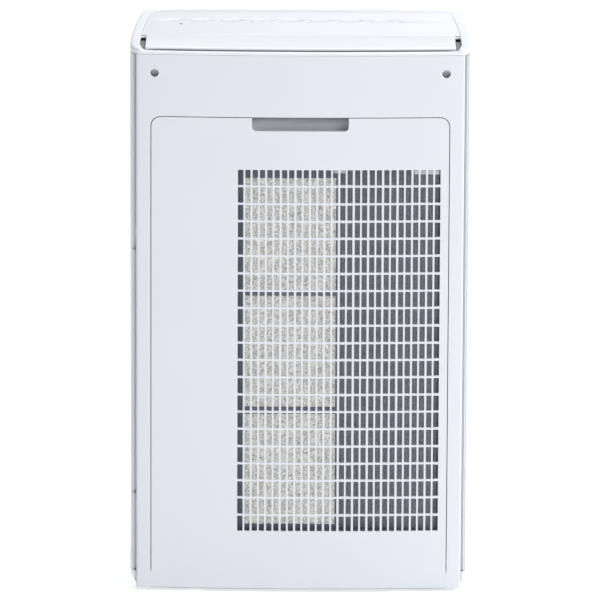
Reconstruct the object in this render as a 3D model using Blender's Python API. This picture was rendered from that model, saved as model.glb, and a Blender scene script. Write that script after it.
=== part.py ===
"""Humidifying air purifier, as an assembly of separate plastic, metal and filter pieces.

Metres, +Z up, origin on the floor under the middle of the body. The air comes in through the
grille of the rear cover at -Y and leaves under the flap in the top. The user stands at +Y.
"""
import math

import bmesh
import bpy
from mathutils import Matrix, Vector

MM = 0.001

# Driving dimensions of the body.
WIDTH = 360 * MM
DEPTH = 230 * MM
HEIGHT = 590 * MM
WALL = 2.5 * MM
GAP = 0.35 * MM
FLOOR_GAP = 3.5 * MM
REAR_CROWN = 8 * MM
FRONT_CROWN = 5 * MM
SIDE_TAPER = 0.27
WIDEST_Y = -85 * MM
REAR_CORNER = (11 * MM, 32 * MM)
FRONT_CORNER = 25 * MM

# Levels of the shell, from the floor up.
BASE_TOP = 21.2 * MM
SHELL_TOP = 583.3 * MM
RIM_BOTTOM = 583.6 * MM
TANK_FRONT = (107.1 * MM, 372.6 * MM)
PANEL_SEAM_Y = 78 * MM

# The rear fascia and the cover that fills it.
FASCIA_HALF = 173.2 * MM
FASCIA_EDGE = 2.6 * MM
COVER_HALF = 157 * MM
COVER_BOTTOM = 8.5 * MM
COVER_TOP = 516.5 * MM
COVER_CORNER = 10 * MM
COVER_WALL = 2.6 * MM
COVER_GAP = 0.9 * MM
RECESS_HALF = 51 * MM
RECESS_HEIGHT = 14 * MM
RECESS_DEPTH = 11 * MM
SCREW_X = 153.5 * MM
SCREW_Z = 563.5 * MM
SCREW_SINK = 10 * MM

# The intake grille: slots in columns, crossed by ribs.
GRILLE_X = (-65.4 * MM, 148 * MM)
GRILLE_Z = (67.6 * MM, 460.7 * MM)
COLUMNS = 28
ROWS = 21
SLOT_WIDTH = 5.45 * MM
RIB_HEIGHT = 2.3 * MM

# The filters, one behind the other from the rear.
CASSETTE_X = (-68 * MM, 151 * MM)
CASSETTE_Y = (-103.8 * MM, -87.4 * MM)
CASSETTE_Z = (56 * MM, 471 * MM)
BLOCK_X = (-58.8 * MM, 38.2 * MM)
BLOCK_EDGES_Z = ((72.7 * MM, 193 * MM), (201.2 * MM, 321.9 * MM), (328.4 * MM, 449.5 * MM))
SCREEN_X = (42 * MM, 147 * MM)
HEPA_Y = (-87 * MM, -52 * MM)
HEPA_HALF = 150 * MM
HEPA_Z = (30 * MM, 470 * MM)

# The fan.
FAN_X = 40 * MM
FAN_Z = 300 * MM
BULKHEAD_Y = (-27 * MM, -24 * MM)
SCROLL_Y = (-23.6 * MM, 70 * MM)
IMPELLER_Y = (-16 * MM, 50 * MM)
IMPELLER_RADIUS = 88 * MM
BLADES = 24
SCROLL_START = 97 * MM
SCROLL_END = 127 * MM
SCROLL_EXIT_Z = 450 * MM
SCROLL_FROM = math.radians(40)

# The top: rim, flap, control plate and keys.
FLAP_HALF = 163.4 * MM
FLAP_AXIS_Y = -37.5 * MM
FLAP_THICKNESS = 3 * MM
FLAP_NOSE = 2.2 * MM
NOSE_CLEARANCE = 2.05 * MM
FLAP_AXIS_Z = HEIGHT - FLAP_NOSE
FLAP_REAR_INSET = 8.5 * MM
RIM_LIP = 4.5 * MM
SLOT_HALF = 169.7 * MM
PLATE_THICKNESS = 3 * MM
KEY_RADIUS = 10 * MM
KEY_Y = 47 * MM
KEY_PITCH = 31.9 * MM
KEY_FIRST_X = -127 * MM
KEYS = ("power", "fan_speed", "mode", "humidify", "ioniser", "timer", "child_lock", "lights")

# The water side.
TANK_X = (-166 * MM, -101 * MM)
TANK_Y = (-44 * MM, 72 * MM)
TANK_Z = (118 * MM, 352 * MM)
MOUTH_RADIUS = 17 * MM
MOUTH_XY = (-136 * MM, 14 * MM)

COLLECTION = "air_purifier"


# ---------------------------------------------------------------- scene and materials

def clear_scene():
    for obj in list(bpy.data.objects):
        bpy.data.objects.remove(obj, do_unlink=True)
    for name in (COLLECTION, "cutters"):
        old = bpy.data.collections.get(name)
        if old:
            bpy.data.collections.remove(old)
        bpy.context.scene.collection.children.link(bpy.data.collections.new(name))


def material(name, colour, roughness, metallic=0.0, alpha=1.0):
    mat = bpy.data.materials.new(name)
    mat.use_nodes = True
    shader = mat.node_tree.nodes["Principled BSDF"]
    shader.inputs["Base Color"].default_value = (*colour, 1.0)
    shader.inputs["Roughness"].default_value = roughness
    shader.inputs["Metallic"].default_value = metallic
    shader.inputs["Alpha"].default_value = alpha
    return mat


def make_materials():
    return {
        "shell": material("shell_white", (0.80, 0.82, 0.86), 0.38),
        "top": material("top_white", (0.84, 0.86, 0.90), 0.25),
        "inner": material("inner_grey", (0.30, 0.31, 0.33), 0.55),
        "frame": material("frame_charcoal", (0.055, 0.065, 0.10), 0.55),
        "block": material("honeycomb_cream", (0.78, 0.72, 0.60), 0.90),
        "carbon": material("carbon_black", (0.05, 0.055, 0.075), 0.85),
        "fleece": material("filter_fleece", (0.85, 0.86, 0.85), 0.95),
        "wick": material("wick_blue", (0.55, 0.70, 0.78), 0.95),
        "steel": material("steel", (0.55, 0.55, 0.56), 0.35, 1.0),
        "board": material("circuit_board", (0.04, 0.20, 0.10), 0.50),
        "tank": material("tank_clear", (0.62, 0.76, 0.88), 0.12, 0.0, 0.45),
        "cap": material("cap_blue", (0.10, 0.28, 0.55), 0.40),
        "rubber": material("rubber_grey", (0.12, 0.12, 0.12), 0.85),
        "key": material("key_white", (0.82, 0.84, 0.88), 0.30),
        "socket": material("socket_black", (0.02, 0.02, 0.02), 0.45),
    }


# ---------------------------------------------------------------- modelling helpers

def finish(bm, name, mat, cutter=False, smooth=False):
    """Turn a bmesh into a named object with faces pointing out."""
    bmesh.ops.recalc_face_normals(bm, faces=bm.faces)
    mesh = bpy.data.meshes.new(name)
    bm.to_mesh(mesh)
    bm.free()
    obj = bpy.data.objects.new(name, mesh)
    bpy.data.collections["cutters" if cutter else COLLECTION].objects.link(obj)
    if mat:
        mesh.materials.append(mat)
    if cutter:
        obj.hide_render = True
        obj.display_type = "WIRE"
    if smooth:
        mesh.shade_smooth()
        mesh.set_sharp_from_angle(angle=math.radians(35))
    return obj


def box(name, x, y, z, mat=None, cutter=False):
    """A box between its low and high coordinates, with its origin at its middle."""
    size = Vector((x[1] - x[0], y[1] - y[0], z[1] - z[0]))
    bm = bmesh.new()
    bmesh.ops.create_cube(bm, size=1.0)
    bmesh.ops.scale(bm, vec=size, verts=bm.verts)
    obj = finish(bm, name, mat, cutter)
    obj.location = ((x[0] + x[1]) / 2, (y[0] + y[1]) / 2, (z[0] + z[1]) / 2)
    return obj


def cylinder(name, centre, radius, length, axis="Z", mat=None, cutter=False, sides=32):
    """A cylinder whose middle is at centre, along the named axis."""
    bm = bmesh.new()
    bmesh.ops.create_cone(bm, cap_ends=True, segments=sides, radius1=radius, radius2=radius,
                          depth=length)
    turn = {"X": Matrix.Rotation(math.pi / 2, 4, "Y"), "Y": Matrix.Rotation(math.pi / 2, 4, "X"),
            "Z": Matrix.Identity(4)}[axis]
    bmesh.ops.transform(bm, matrix=turn, verts=bm.verts)
    obj = finish(bm, name, mat, cutter, smooth=True)
    obj.location = centre
    return obj


def loft(name, sections, mat=None, cutter=False, smooth=False):
    """A closed solid through rings of 3-D points that all have the same count."""
    bm = bmesh.new()
    rings = [[bm.verts.new(point) for point in section] for section in sections]
    count = len(rings[0])
    for low, high in zip(rings, rings[1:]):
        for i in range(count):
            j = (i + 1) % count
            bm.faces.new((low[i], low[j], high[j], high[i]))
    bm.faces.new(rings[0])
    bm.faces.new(rings[-1])
    return finish(bm, name, mat, cutter, smooth)


def prism(name, outline, low, high, axis="Z", mat=None, cutter=False, smooth=False):
    """A flat outline carried from low to high along an axis."""
    place = {"X": lambda p, t: (t, p[0], p[1]), "Y": lambda p, t: (p[0], t, p[1]),
             "Z": lambda p, t: (p[0], p[1], t)}[axis]
    sections = [[place(point, t) for point in outline] for t in (low, high)]
    return loft(name, sections, mat, cutter, smooth)


def boolean(obj, tool, operation):
    """Cut obj with tool, or join tool to it. A joined piece leaves the part's collection."""
    if operation == "UNION" and tool.name in bpy.data.collections[COLLECTION].objects:
        bpy.data.collections[COLLECTION].objects.unlink(tool)
        bpy.data.collections["cutters"].objects.link(tool)
        tool.hide_render = True
        tool.display_type = "WIRE"
    modifier = obj.modifiers.new(operation.lower(), "BOOLEAN")
    modifier.operation = operation
    modifier.solver = "EXACT"
    modifier.object = tool
    return obj


def cut(obj, *tools):
    for tool in tools:
        boolean(obj, tool, "DIFFERENCE")
    return obj


def join(obj, *tools):
    for tool in tools:
        boolean(obj, tool, "UNION")
    return obj


def many_boxes(name, spans):
    """One cutter made of separate boxes that don't touch."""
    bm = bmesh.new()
    for x, y, z in spans:
        size = Vector((x[1] - x[0], y[1] - y[0], z[1] - z[0]))
        middle = Vector((x[0] + x[1], y[0] + y[1], z[0] + z[1])) / 2
        matrix = Matrix.Translation(middle) @ Matrix.Diagonal((*size, 1))
        bmesh.ops.create_cube(bm, size=1.0, matrix=matrix)
    return finish(bm, name, None, cutter=True)


def pivot(name, point, pieces):
    """Hang moving pieces on an empty that stands on their joint's axis."""
    empty = bpy.data.objects.new(name, None)
    empty.location = point
    bpy.data.collections[COLLECTION].objects.link(empty)
    inverse = Matrix.Translation(-Vector(point))
    for piece in pieces:
        piece.parent = empty
        piece.matrix_parent_inverse = inverse


# ---------------------------------------------------------------- the body's plan outline

def rear_y(x, inset=0.0):
    """The rear surface bulges gently: it is a parabola in plan."""
    return -DEPTH / 2 + REAR_CROWN * (x / (WIDTH / 2)) ** 2 + inset


def front_y(x, inset=0.0):
    return DEPTH / 2 - FRONT_CROWN * (x / (WIDTH / 2)) ** 2 - inset


def side_x(y, inset=0.0):
    """The sides lean inwards towards the front."""
    return WIDTH / 2 - SIDE_TAPER * max(0.0, y - WIDEST_Y) ** 2 - inset


def bend(start, corner, end, steps):
    """Points along a smooth corner from start to end, without the end itself."""
    points = []
    for i in range(steps):
        t = i / steps
        points.append(tuple((1 - t) ** 2 * s + 2 * t * (1 - t) * c + t * t * e
                            for s, c, e in zip(start, corner, end)))
    return points


def half_outline(rear, side, front, rear_corner, front_corner, steps=6):
    """The right half of an outline inset from the body's, from rear middle to front middle.

    The rear corner is long: rear_corner gives its reach along the rear and along the side.
    """
    corner_x = side_x(-DEPTH / 2, side)
    corner_y = rear_y(corner_x, rear)
    rear_end = (corner_x - rear_corner[0], rear_y(corner_x - rear_corner[0], rear))
    side_y = corner_y + rear_corner[1]
    side_start = (side_x(side_y, side), side_y)
    tip_x = side_x(DEPTH / 2, side)
    tip_y = front_y(tip_x, front)
    side_end = (side_x(tip_y - front_corner, side), tip_y - front_corner)
    front_start = (tip_x - front_corner, front_y(tip_x - front_corner, front))

    points = [(rear_end[0] * i / steps, rear_y(rear_end[0] * i / steps, rear))
              for i in range(steps)]
    points += bend(rear_end, (corner_x, corner_y), side_start, 5)
    for i in range(steps):
        y = side_start[1] + (side_end[1] - side_start[1]) * i / steps
        points.append((side_x(y, side), y))
    points += bend(side_end, (tip_x, tip_y), front_start, 8)
    points += [(front_start[0] * (1 - i / 4), front_y(front_start[0] * (1 - i / 4), front))
               for i in range(5)]
    return points


def outline(rear=0.0, side=0.0, front=0.0, rear_corner=REAR_CORNER, front_corner=FRONT_CORNER):
    """A whole outline, anticlockwise from the rear middle."""
    right = half_outline(rear, side, front, rear_corner, front_corner)
    left = [(-x, y) for x, y in reversed(right[1:-1])]
    return right + left


def rear_strip(half_low, half_high, inset, thickness, steps=12):
    """Plan section of a plate that follows the crowned rear surface."""
    xs = [half_low + (half_high - half_low) * i / steps for i in range(steps + 1)]
    outer = [(x, rear_y(x, inset)) for x in xs]
    inner = [(x, rear_y(x, inset + thickness)) for x in reversed(xs)]
    return outer + inner


# ---------------------------------------------------------------- base and feet

def make_base(mats):
    """The floor pan: its edge curves under the body, and it is open upwards."""
    levels = 5
    drop = BASE_TOP - FLOOR_GAP
    sections = []
    for i in range(levels + 1):
        lift = math.sin(math.pi / 2 * i / levels)
        inset = 8 * MM * (1 - math.sqrt(1 - (1 - lift) ** 2))
        ring = outline(inset, inset, inset)
        sections.append([(x, y, FLOOR_GAP + drop * lift) for x, y in ring])
    base = loft("base_tray", sections, mats["shell"], smooth=True)
    hollow = outline(14 * MM, 14 * MM, 14 * MM, (8 * MM, 24 * MM), 18 * MM)
    cut(base,
        prism("base_hollow", hollow, FLOOR_GAP + 3 * MM, BASE_TOP + 5 * MM, cutter=True),
        prism("base_fascia_seat", rear_strip(-FASCIA_HALF - GAP, FASCIA_HALF + GAP, -5 * MM,
                                             5 * MM + COVER_WALL + 6 * MM), 0, 40 * MM, cutter=True))

    for side in (-1, 1):
        for end, y in (("rear", -78 * MM), ("front", 82 * MM)):
            name = f"foot_{end}_{'left' if side < 0 else 'right'}"
            cylinder(name, (side * 132 * MM, y, (FLOOR_GAP - GAP) / 2), 9 * MM, FLOOR_GAP - GAP,
                     mat=mats["rubber"], sides=24)


# ---------------------------------------------------------------- outer panels

def side_section(mirror):
    """Plan section of a side panel: a thin wall with a rear lip and a flange into the groove."""
    right = half_outline(0, 0, 0, REAR_CORNER, FRONT_CORNER, steps=8)
    lip_x = 175.2 * MM
    lip_y = -98 * MM
    outer = [p for p in right if p[0] > lip_x and p[1] < PANEL_SEAM_Y]
    outer.append((side_x(PANEL_SEAM_Y), PANEL_SEAM_Y))
    inner = [(side_x(PANEL_SEAM_Y, WALL), PANEL_SEAM_Y)]
    inner += [(side_x(y, WALL), y) for y in (40 * MM, 0.0, -40 * MM, lip_y + WALL)]
    groove = FASCIA_HALF + GAP
    ring = outer + inner + [(groove, lip_y + WALL), (groove, lip_y), (lip_x, lip_y)]
    return [(-x, y) for x, y in ring] if mirror else ring


def make_side_panels(mats):
    low = BASE_TOP + GAP
    prism("side_panel_right", side_section(False), low, SHELL_TOP, mat=mats["shell"])
    prism("side_panel_left_upper", side_section(True), TANK_FRONT[1] + GAP, SHELL_TOP,
          mat=mats["shell"])


def make_front_panel(mats):
    """The front wraps round both front corners to the seam with the side panels."""
    seam = PANEL_SEAM_Y + GAP

    def wrap(inset, corner):
        right = half_outline(inset, inset, inset, REAR_CORNER, corner, steps=6)
        front = [(side_x(seam, inset), seam)] + [p for p in right if p[1] > seam + 1 * MM]
        return front + [(-x, y) for x, y in reversed(front[:-1])]

    ring = wrap(0, FRONT_CORNER) + list(reversed(wrap(WALL, FRONT_CORNER - WALL)))
    prism("front_panel", ring, BASE_TOP + GAP, SHELL_TOP, mat=mats["shell"], smooth=True)


def make_fascia(mats):
    """The rear frame: a crowned plate with the cover's opening and walls that go inwards."""
    ring = [rounded_edge(x, y) for x, y in
            rear_strip(-FASCIA_HALF, FASCIA_HALF, 0, COVER_WALL, steps=24)]
    plate = prism("rear_fascia", ring, FLOOR_GAP, SHELL_TOP, mat=mats["shell"])
    for side in (-1, 1):
        edge = sorted((side * FASCIA_HALF, side * (FASCIA_HALF - WALL)))
        wall_y = rear_y(FASCIA_HALF) + FASCIA_EDGE + 0.5 * MM
        join(plate, box(f"fascia_outer_wall_{side}", edge, (wall_y, -60 * MM),
                        (BASE_TOP + GAP, SHELL_TOP)))
        opening_half = COVER_HALF + COVER_GAP
        inner = sorted((side * opening_half, side * (opening_half + WALL)))
        wall_y = rear_y(COVER_HALF) + 1 * MM
        join(plate, box(f"fascia_inner_wall_{side}", inner, (wall_y, -90 * MM),
                        (BASE_TOP + 2 * MM, COVER_TOP - COVER_CORNER)))
    reach = (-DEPTH, -100 * MM)
    opening = rounded_rectangle(COVER_HALF + COVER_GAP, COVER_BOTTOM - COVER_GAP,
                                COVER_TOP + COVER_GAP, COVER_CORNER + COVER_GAP)
    cut(plate, prism("fascia_opening", opening, *reach, axis="Y", cutter=True))
    for side in (-1, 1):
        x, y = side * SCREW_X, rear_y(SCREW_X)
        join(plate, cylinder(f"screw_boss_{side}", (x, y + 1.2 * MM + SCREW_SINK / 2, SCREW_Z),
                             6.5 * MM, SCREW_SINK + 2 * MM, "Y", sides=24))
        cut(plate, cylinder(f"screw_well_{side}", (x, y, SCREW_Z), 4.4 * MM, 2 * SCREW_SINK, "Y",
                            cutter=True, sides=24),
            cylinder(f"shank_hole_{side}", (x, y, SCREW_Z), 2 * MM, 4 * SCREW_SINK, "Y",
                     cutter=True, sides=16))
    for side, name in ((-1, "left"), (1, "right")):
        make_screw(mats, side, name)


def rounded_edge(x, y):
    """Push a point near the fascia's left or right edge inwards, as on a rounded edge."""
    over = max(0.0, abs(x) - (FASCIA_HALF - FASCIA_EDGE))
    return x, y + FASCIA_EDGE - math.sqrt(max(0.0, FASCIA_EDGE ** 2 - over ** 2))


def rounded_rectangle(half, low, high, radius, steps=4):
    """X-Z outline with two rounded upper corners and square lower ones."""
    points = [(-half, low), (half, low)]
    points += bend((half, high - radius), (half, high), (half - radius, high), steps)
    points.append((half - radius, high))
    points += bend((-half + radius, high), (-half, high), (-half, high - radius), steps)
    points.append((-half, high - radius))
    return points


def make_screw(mats, side, name):
    """A pan-head screw at the bottom of its hole, threaded into the frame behind."""
    y = rear_y(SCREW_X) + SCREW_SINK - GAP - 2.4 * MM
    head = cylinder(f"screw_rear_{name}", (side * SCREW_X, y + 1.2 * MM, SCREW_Z), 3.9 * MM,
                    2.4 * MM, "Y", mats["steel"], sides=24)
    join(head, cylinder(f"screw_shank_{name}", (side * SCREW_X, y + 7 * MM, SCREW_Z), 1.6 * MM,
                        12 * MM, "Y", sides=12))
    arm = 2.2 * MM
    for axis_x, axis_z in ((arm, 0.5 * MM), (0.5 * MM, arm)):
        cut(head, box(f"screw_cross_{name}_{axis_x:.4f}",
                      (side * SCREW_X - axis_x, side * SCREW_X + axis_x), (y - 2 * MM, y + 1.2 * MM),
                      (SCREW_Z - axis_z, SCREW_Z + axis_z), cutter=True))


# ---------------------------------------------------------------- rear cover

def column_left(i):
    pitch = (GRILLE_X[1] - GRILLE_X[0] - SLOT_WIDTH) / (COLUMNS - 1)
    return GRILLE_X[0] + pitch * i


def row_bottom(i):
    """Rows of open slot, with ribs RIB_HEIGHT tall between them."""
    height = (GRILLE_Z[1] - GRILLE_Z[0] - RIB_HEIGHT * (ROWS - 1)) / ROWS
    return GRILLE_Z[0] + (height + RIB_HEIGHT) * i, height


def make_rear_cover(mats):
    """The lift-off cover: crowned, with tall slots, a finger recess and two bottom tabs."""
    spare = 4 * MM
    cover = prism("rear_cover", rear_strip(-COVER_HALF - spare, COVER_HALF + spare, 0, COVER_WALL),
                  COVER_BOTTOM - spare, COVER_TOP + spare, mat=mats["shell"])
    shape = rounded_rectangle(COVER_HALF, COVER_BOTTOM, COVER_TOP, COVER_CORNER)
    keep = prism("cover_corner_shape", shape, -DEPTH, -80 * MM, axis="Y", cutter=True)
    boolean(cover, keep, "INTERSECT")

    floor = COVER_TOP - RECESS_HEIGHT
    cut(cover, box("recess_notch", (-RECESS_HALF, RECESS_HALF), (-DEPTH, -80 * MM),
                   (floor, COVER_TOP + 10 * MM), cutter=True))
    cup = make_recess_cup(mats, floor)
    for side in (-1, 1):
        middle = side * 110 * MM
        face = rear_y(110 * MM) + COVER_WALL
        join(cover, box(f"cover_tab_{side}", (middle - 9 * MM, middle + 9 * MM),
                        (face - 1 * MM, face + 3.5 * MM), (COVER_BOTTOM + 0.5 * MM, 18 * MM)))
        join(cover, box(f"cover_hook_{side}", (middle - 9 * MM, middle + 9 * MM),
                        (face + 1 * MM, face + 3.5 * MM), (4.5 * MM, 12 * MM)))
    slots = [((column_left(i), column_left(i) + SLOT_WIDTH), (-DEPTH, -80 * MM), GRILLE_Z)
             for i in range(COLUMNS)]
    cut(cover, many_boxes("cover_slots", slots))

    low, high = GRILLE_X[0] - 3 * MM, GRILLE_X[1] + 3 * MM
    ribs = prism("grille_cross_ribs", rear_strip(low, high, COVER_WALL + GAP, 1.8 * MM, steps=5),
                 GRILLE_Z[0] - 3 * MM, GRILLE_Z[1] + 3 * MM, mat=mats["shell"])
    windows = []
    for i in range(ROWS):
        bottom, height = row_bottom(i)
        windows.append((GRILLE_X, (-DEPTH, -80 * MM), (bottom, bottom + height)))
    cut(ribs, many_boxes("rib_windows", windows))
    pivot("rear_cover_axis", (0, -DEPTH / 2, COVER_BOTTOM), [cover, ribs, cup])


def make_recess_cup(mats, floor):
    """The cup behind the finger notch, open at the rear and the top, fixed to the cover."""
    wall = 2 * MM
    seat = rear_y(RECESS_HALF + wall) + COVER_WALL + GAP
    back = rear_y(0) + COVER_WALL + RECESS_DEPTH
    cup = box("recess_cup", (-RECESS_HALF - wall, RECESS_HALF + wall), (seat, back),
              (floor - wall, COVER_TOP - 0.6 * MM), mats["shell"])
    return cut(cup, box("recess_hollow", (-RECESS_HALF, RECESS_HALF), (-DEPTH, back - wall),
                        (floor, COVER_TOP + 10 * MM), cutter=True))


# ---------------------------------------------------------------- filters

def make_filters(mats):
    frame = box("filter_cassette", CASSETTE_X, CASSETTE_Y, CASSETTE_Z, mats["frame"])
    through = (CASSETTE_Y[0] - 5 * MM, CASSETTE_Y[1] + 5 * MM)
    windows = [((BLOCK_X[0] - GAP, BLOCK_X[1] + GAP), through, (low - GAP, high + GAP))
               for low, high in BLOCK_EDGES_Z]
    windows.append(((SCREEN_X[0] - GAP, SCREEN_X[1] + GAP), through,
                    (GRILLE_Z[0] - GAP, GRILLE_Z[1] + GAP)))
    cut(frame, many_boxes("cassette_windows", windows))
    for (low, high), place in zip(BLOCK_EDGES_Z, ("bottom", "middle", "top")):
        box(f"honeycomb_block_{place}", BLOCK_X, (CASSETTE_Y[0] + 1 * MM, CASSETTE_Y[1] - 1 * MM),
            (low, high), mats["block"])
    box("carbon_screen", SCREEN_X, (CASSETTE_Y[0] + 2 * MM, CASSETTE_Y[1] - 2 * MM), GRILLE_Z,
        mats["carbon"])

    hepa = box("hepa_frame", (-HEPA_HALF, HEPA_HALF), HEPA_Y, HEPA_Z, mats["fleece"])
    edge = 8 * MM
    window = box("hepa_window", (-HEPA_HALF + edge, HEPA_HALF - edge),
                 (HEPA_Y[0] - 9 * MM, HEPA_Y[1] + 9 * MM), (HEPA_Z[0] + edge, HEPA_Z[1] - edge),
                 cutter=True)
    cut(hepa, window)
    make_pleats(mats, HEPA_HALF - edge - GAP, HEPA_Z[0] + edge + GAP, HEPA_Z[1] - edge - GAP)


def make_filter_bay(mats):
    """The four-sided sleeve that holds the pleated filter behind the cassette."""
    wall = 3 * MM
    span = (HEPA_Y[0], HEPA_Y[1] + 3 * MM)
    outer_x = HEPA_HALF + GAP + wall
    bay = box("filter_bay", (-outer_x, outer_x), span,
              (HEPA_Z[0] - GAP - wall, HEPA_Z[1] + GAP + wall), mats["inner"])
    cut(bay, box("filter_bay_hollow", (-HEPA_HALF - GAP, HEPA_HALF + GAP),
                 (span[0] - 5 * MM, span[1] + 5 * MM), (HEPA_Z[0] - GAP, HEPA_Z[1] + GAP),
                 cutter=True))


def make_pleats(mats, half, low, high):
    """The pleated paper: one zigzag sheet, folded up and down across the frame."""
    folds = 22
    depth = (HEPA_Y[0] + 2 * MM, HEPA_Y[1] - 4 * MM)
    sheet = 2 * MM
    front, back = [], []
    for i in range(folds + 1):
        x = -half + 2 * half * i / folds
        y = depth[i % 2]
        front.append((x, y))
        back.append((x, y + sheet))
    prism("hepa_pleats", front + list(reversed(back)), low, high, mat=mats["fleece"])


# ---------------------------------------------------------------- fan

def scroll_radius(turn):
    """The scroll opens evenly from its tongue, over turn = 0 to 1."""
    return SCROLL_START + (SCROLL_END - SCROLL_START) * turn


def exit_right():
    """The right wall of the scroll's exit stands over the point where the spiral starts."""
    return FAN_X + SCROLL_START * math.cos(SCROLL_FROM)


def make_fan(mats):
    start, steps = SCROLL_FROM, 32
    sweep = -math.pi - SCROLL_FROM

    def shape(grow, top):
        spiral = []
        for i in range(steps + 1):
            turn = i / steps
            angle = start + sweep * turn
            radius = scroll_radius(turn) + grow
            spiral.append((FAN_X + radius * math.cos(angle), FAN_Z + radius * math.sin(angle)))
        return spiral + [(spiral[-1][0], top), (spiral[0][0], top)]

    scroll = prism("scroll_housing", shape(WALL, SCROLL_EXIT_Z), *SCROLL_Y, axis="Y",
                   mat=mats["inner"], smooth=False)
    cut(scroll, prism("scroll_hollow", shape(0, SCROLL_EXIT_Z + 20 * MM), SCROLL_Y[0] - 5 * MM,
                      SCROLL_Y[1] - 3 * MM, axis="Y", cutter=True),
        cylinder("shaft_hole", (FAN_X, SCROLL_Y[1], FAN_Z), 12 * MM, 20 * MM, "Y", cutter=True,
                 sides=24))

    bulkhead = box("bulkhead", (-95 * MM, 172 * MM), BULKHEAD_Y, (22 * MM, SCROLL_EXIT_Z),
                   mats["inner"])
    cut(bulkhead, cylinder("bulkhead_mouth", (FAN_X, BULKHEAD_Y[0], FAN_Z), 76 * MM, 30 * MM, "Y",
                           cutter=True, sides=48))

    middle = (IMPELLER_Y[0] + IMPELLER_Y[1]) / 2
    length = IMPELLER_Y[1] - IMPELLER_Y[0]
    impeller = cylinder("impeller", (FAN_X, middle, FAN_Z), IMPELLER_RADIUS, length, "Y",
                        mats["inner"], sides=48)
    cut(impeller, cylinder("impeller_eye", (FAN_X, middle - 4 * MM, FAN_Z), 72 * MM, length, "Y",
                           cutter=True, sides=48))
    join(impeller, cylinder("impeller_hub", (FAN_X, IMPELLER_Y[1] - 15 * MM, FAN_Z), 13 * MM,
                            28 * MM, "Y", sides=24))
    cut(impeller, cylinder("impeller_bore", (FAN_X, middle, FAN_Z), 4.3 * MM, 2 * length, "Y",
                           cutter=True, sides=24), make_blade_gaps())
    shaft = cylinder("motor_shaft", (FAN_X, 52 * MM, FAN_Z), 4 * MM, 84 * MM, "Y", mats["steel"],
                     sides=24)
    nut = cylinder("impeller_nut", (FAN_X, 14.4 * MM, FAN_Z), 9 * MM, 12 * MM, "Y", mats["cap"],
                   sides=6)
    cut(nut, cylinder("nut_bore", (FAN_X, 14.4 * MM, FAN_Z), 4.3 * MM, 30 * MM, "Y", cutter=True,
                      sides=24))
    pivot("impeller_axis", (FAN_X, middle, FAN_Z), [impeller, shaft, nut])

    motor = cylinder("fan_motor", (FAN_X, 86 * MM, FAN_Z), 46 * MM, 31 * MM, "Y", mats["steel"],
                     sides=40)
    cut(motor, cylinder("motor_bore", (FAN_X, 83 * MM, FAN_Z), 4.3 * MM, 30 * MM, "Y",
                        cutter=True, sides=24))


def make_blade_gaps():
    """Gaps between the blades: slanted boxes round the impeller's rim, in one cutter."""
    bm = bmesh.new()
    span = IMPELLER_Y[1] - IMPELLER_Y[0] - 12 * MM
    middle_y = (IMPELLER_Y[0] + IMPELLER_Y[1]) / 2 - 1 * MM
    for i in range(BLADES):
        angle = 2 * math.pi * i / BLADES
        size = Matrix.Diagonal((26 * MM, span, 15 * MM, 1))
        turn = Matrix.Rotation(-angle, 4, "Y")
        out = Matrix.Translation((81 * MM, 0, 0))
        lean = Matrix.Rotation(math.radians(30), 4, "Y")
        place = Matrix.Translation((FAN_X, middle_y, FAN_Z))
        bmesh.ops.create_cube(bm, size=1.0, matrix=place @ turn @ out @ lean @ size)
    return finish(bm, "blade_gaps", None, cutter=True)


# ---------------------------------------------------------------- outlet, rim, flap, controls

def make_outlet(mats):
    """The duct leans back from the scroll to the outlet under the flap, then a grid."""
    low = ((FAN_X - SCROLL_END - WALL, exit_right() + WALL), SCROLL_Y, SCROLL_EXIT_Z + GAP)
    high = ((-140 * MM, 140 * MM), (-105 * MM, -46 * MM), 566 * MM)

    def ring(x, y, z, grow):
        return [(x[0] - grow, y[0] - grow, z), (x[1] + grow, y[0] - grow, z),
                (x[1] + grow, y[1] + grow, z), (x[0] - grow, y[1] + grow, z)]

    duct = loft("outlet_duct", [ring(*low, 0), ring(*high, 0)], mats["inner"])
    reach = 0.25

    def extended(grow, past):
        sections = []
        for t in (-past, 1 + past):
            x = [a + (b - a) * t for a, b in zip(low[0], high[0])]
            y = [a + (b - a) * t for a, b in zip(low[1], high[1])]
            sections.append(ring(x, y, low[2] + (high[2] - low[2]) * t, grow))
        return sections

    cut(duct, loft("duct_hollow", extended(-WALL, reach), cutter=True))

    grid_x, grid_y = (-142 * MM, 142 * MM), (-106 * MM, -45 * MM)
    grid = box("outlet_grid", grid_x, grid_y, (566.4 * MM, 572 * MM), mats["inner"])
    bays = 10
    pitch = (grid_x[1] - grid_x[0] - 4 * MM) / bays
    holes = []
    for i in range(bays):
        left = grid_x[0] + 4 * MM + pitch * i
        holes.append(((left, left + pitch - 4 * MM), (grid_y[0] + 4 * MM, grid_y[1] - 4 * MM),
                      (560 * MM, 580 * MM)))
    cut(grid, many_boxes("grid_holes", holes))


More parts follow.
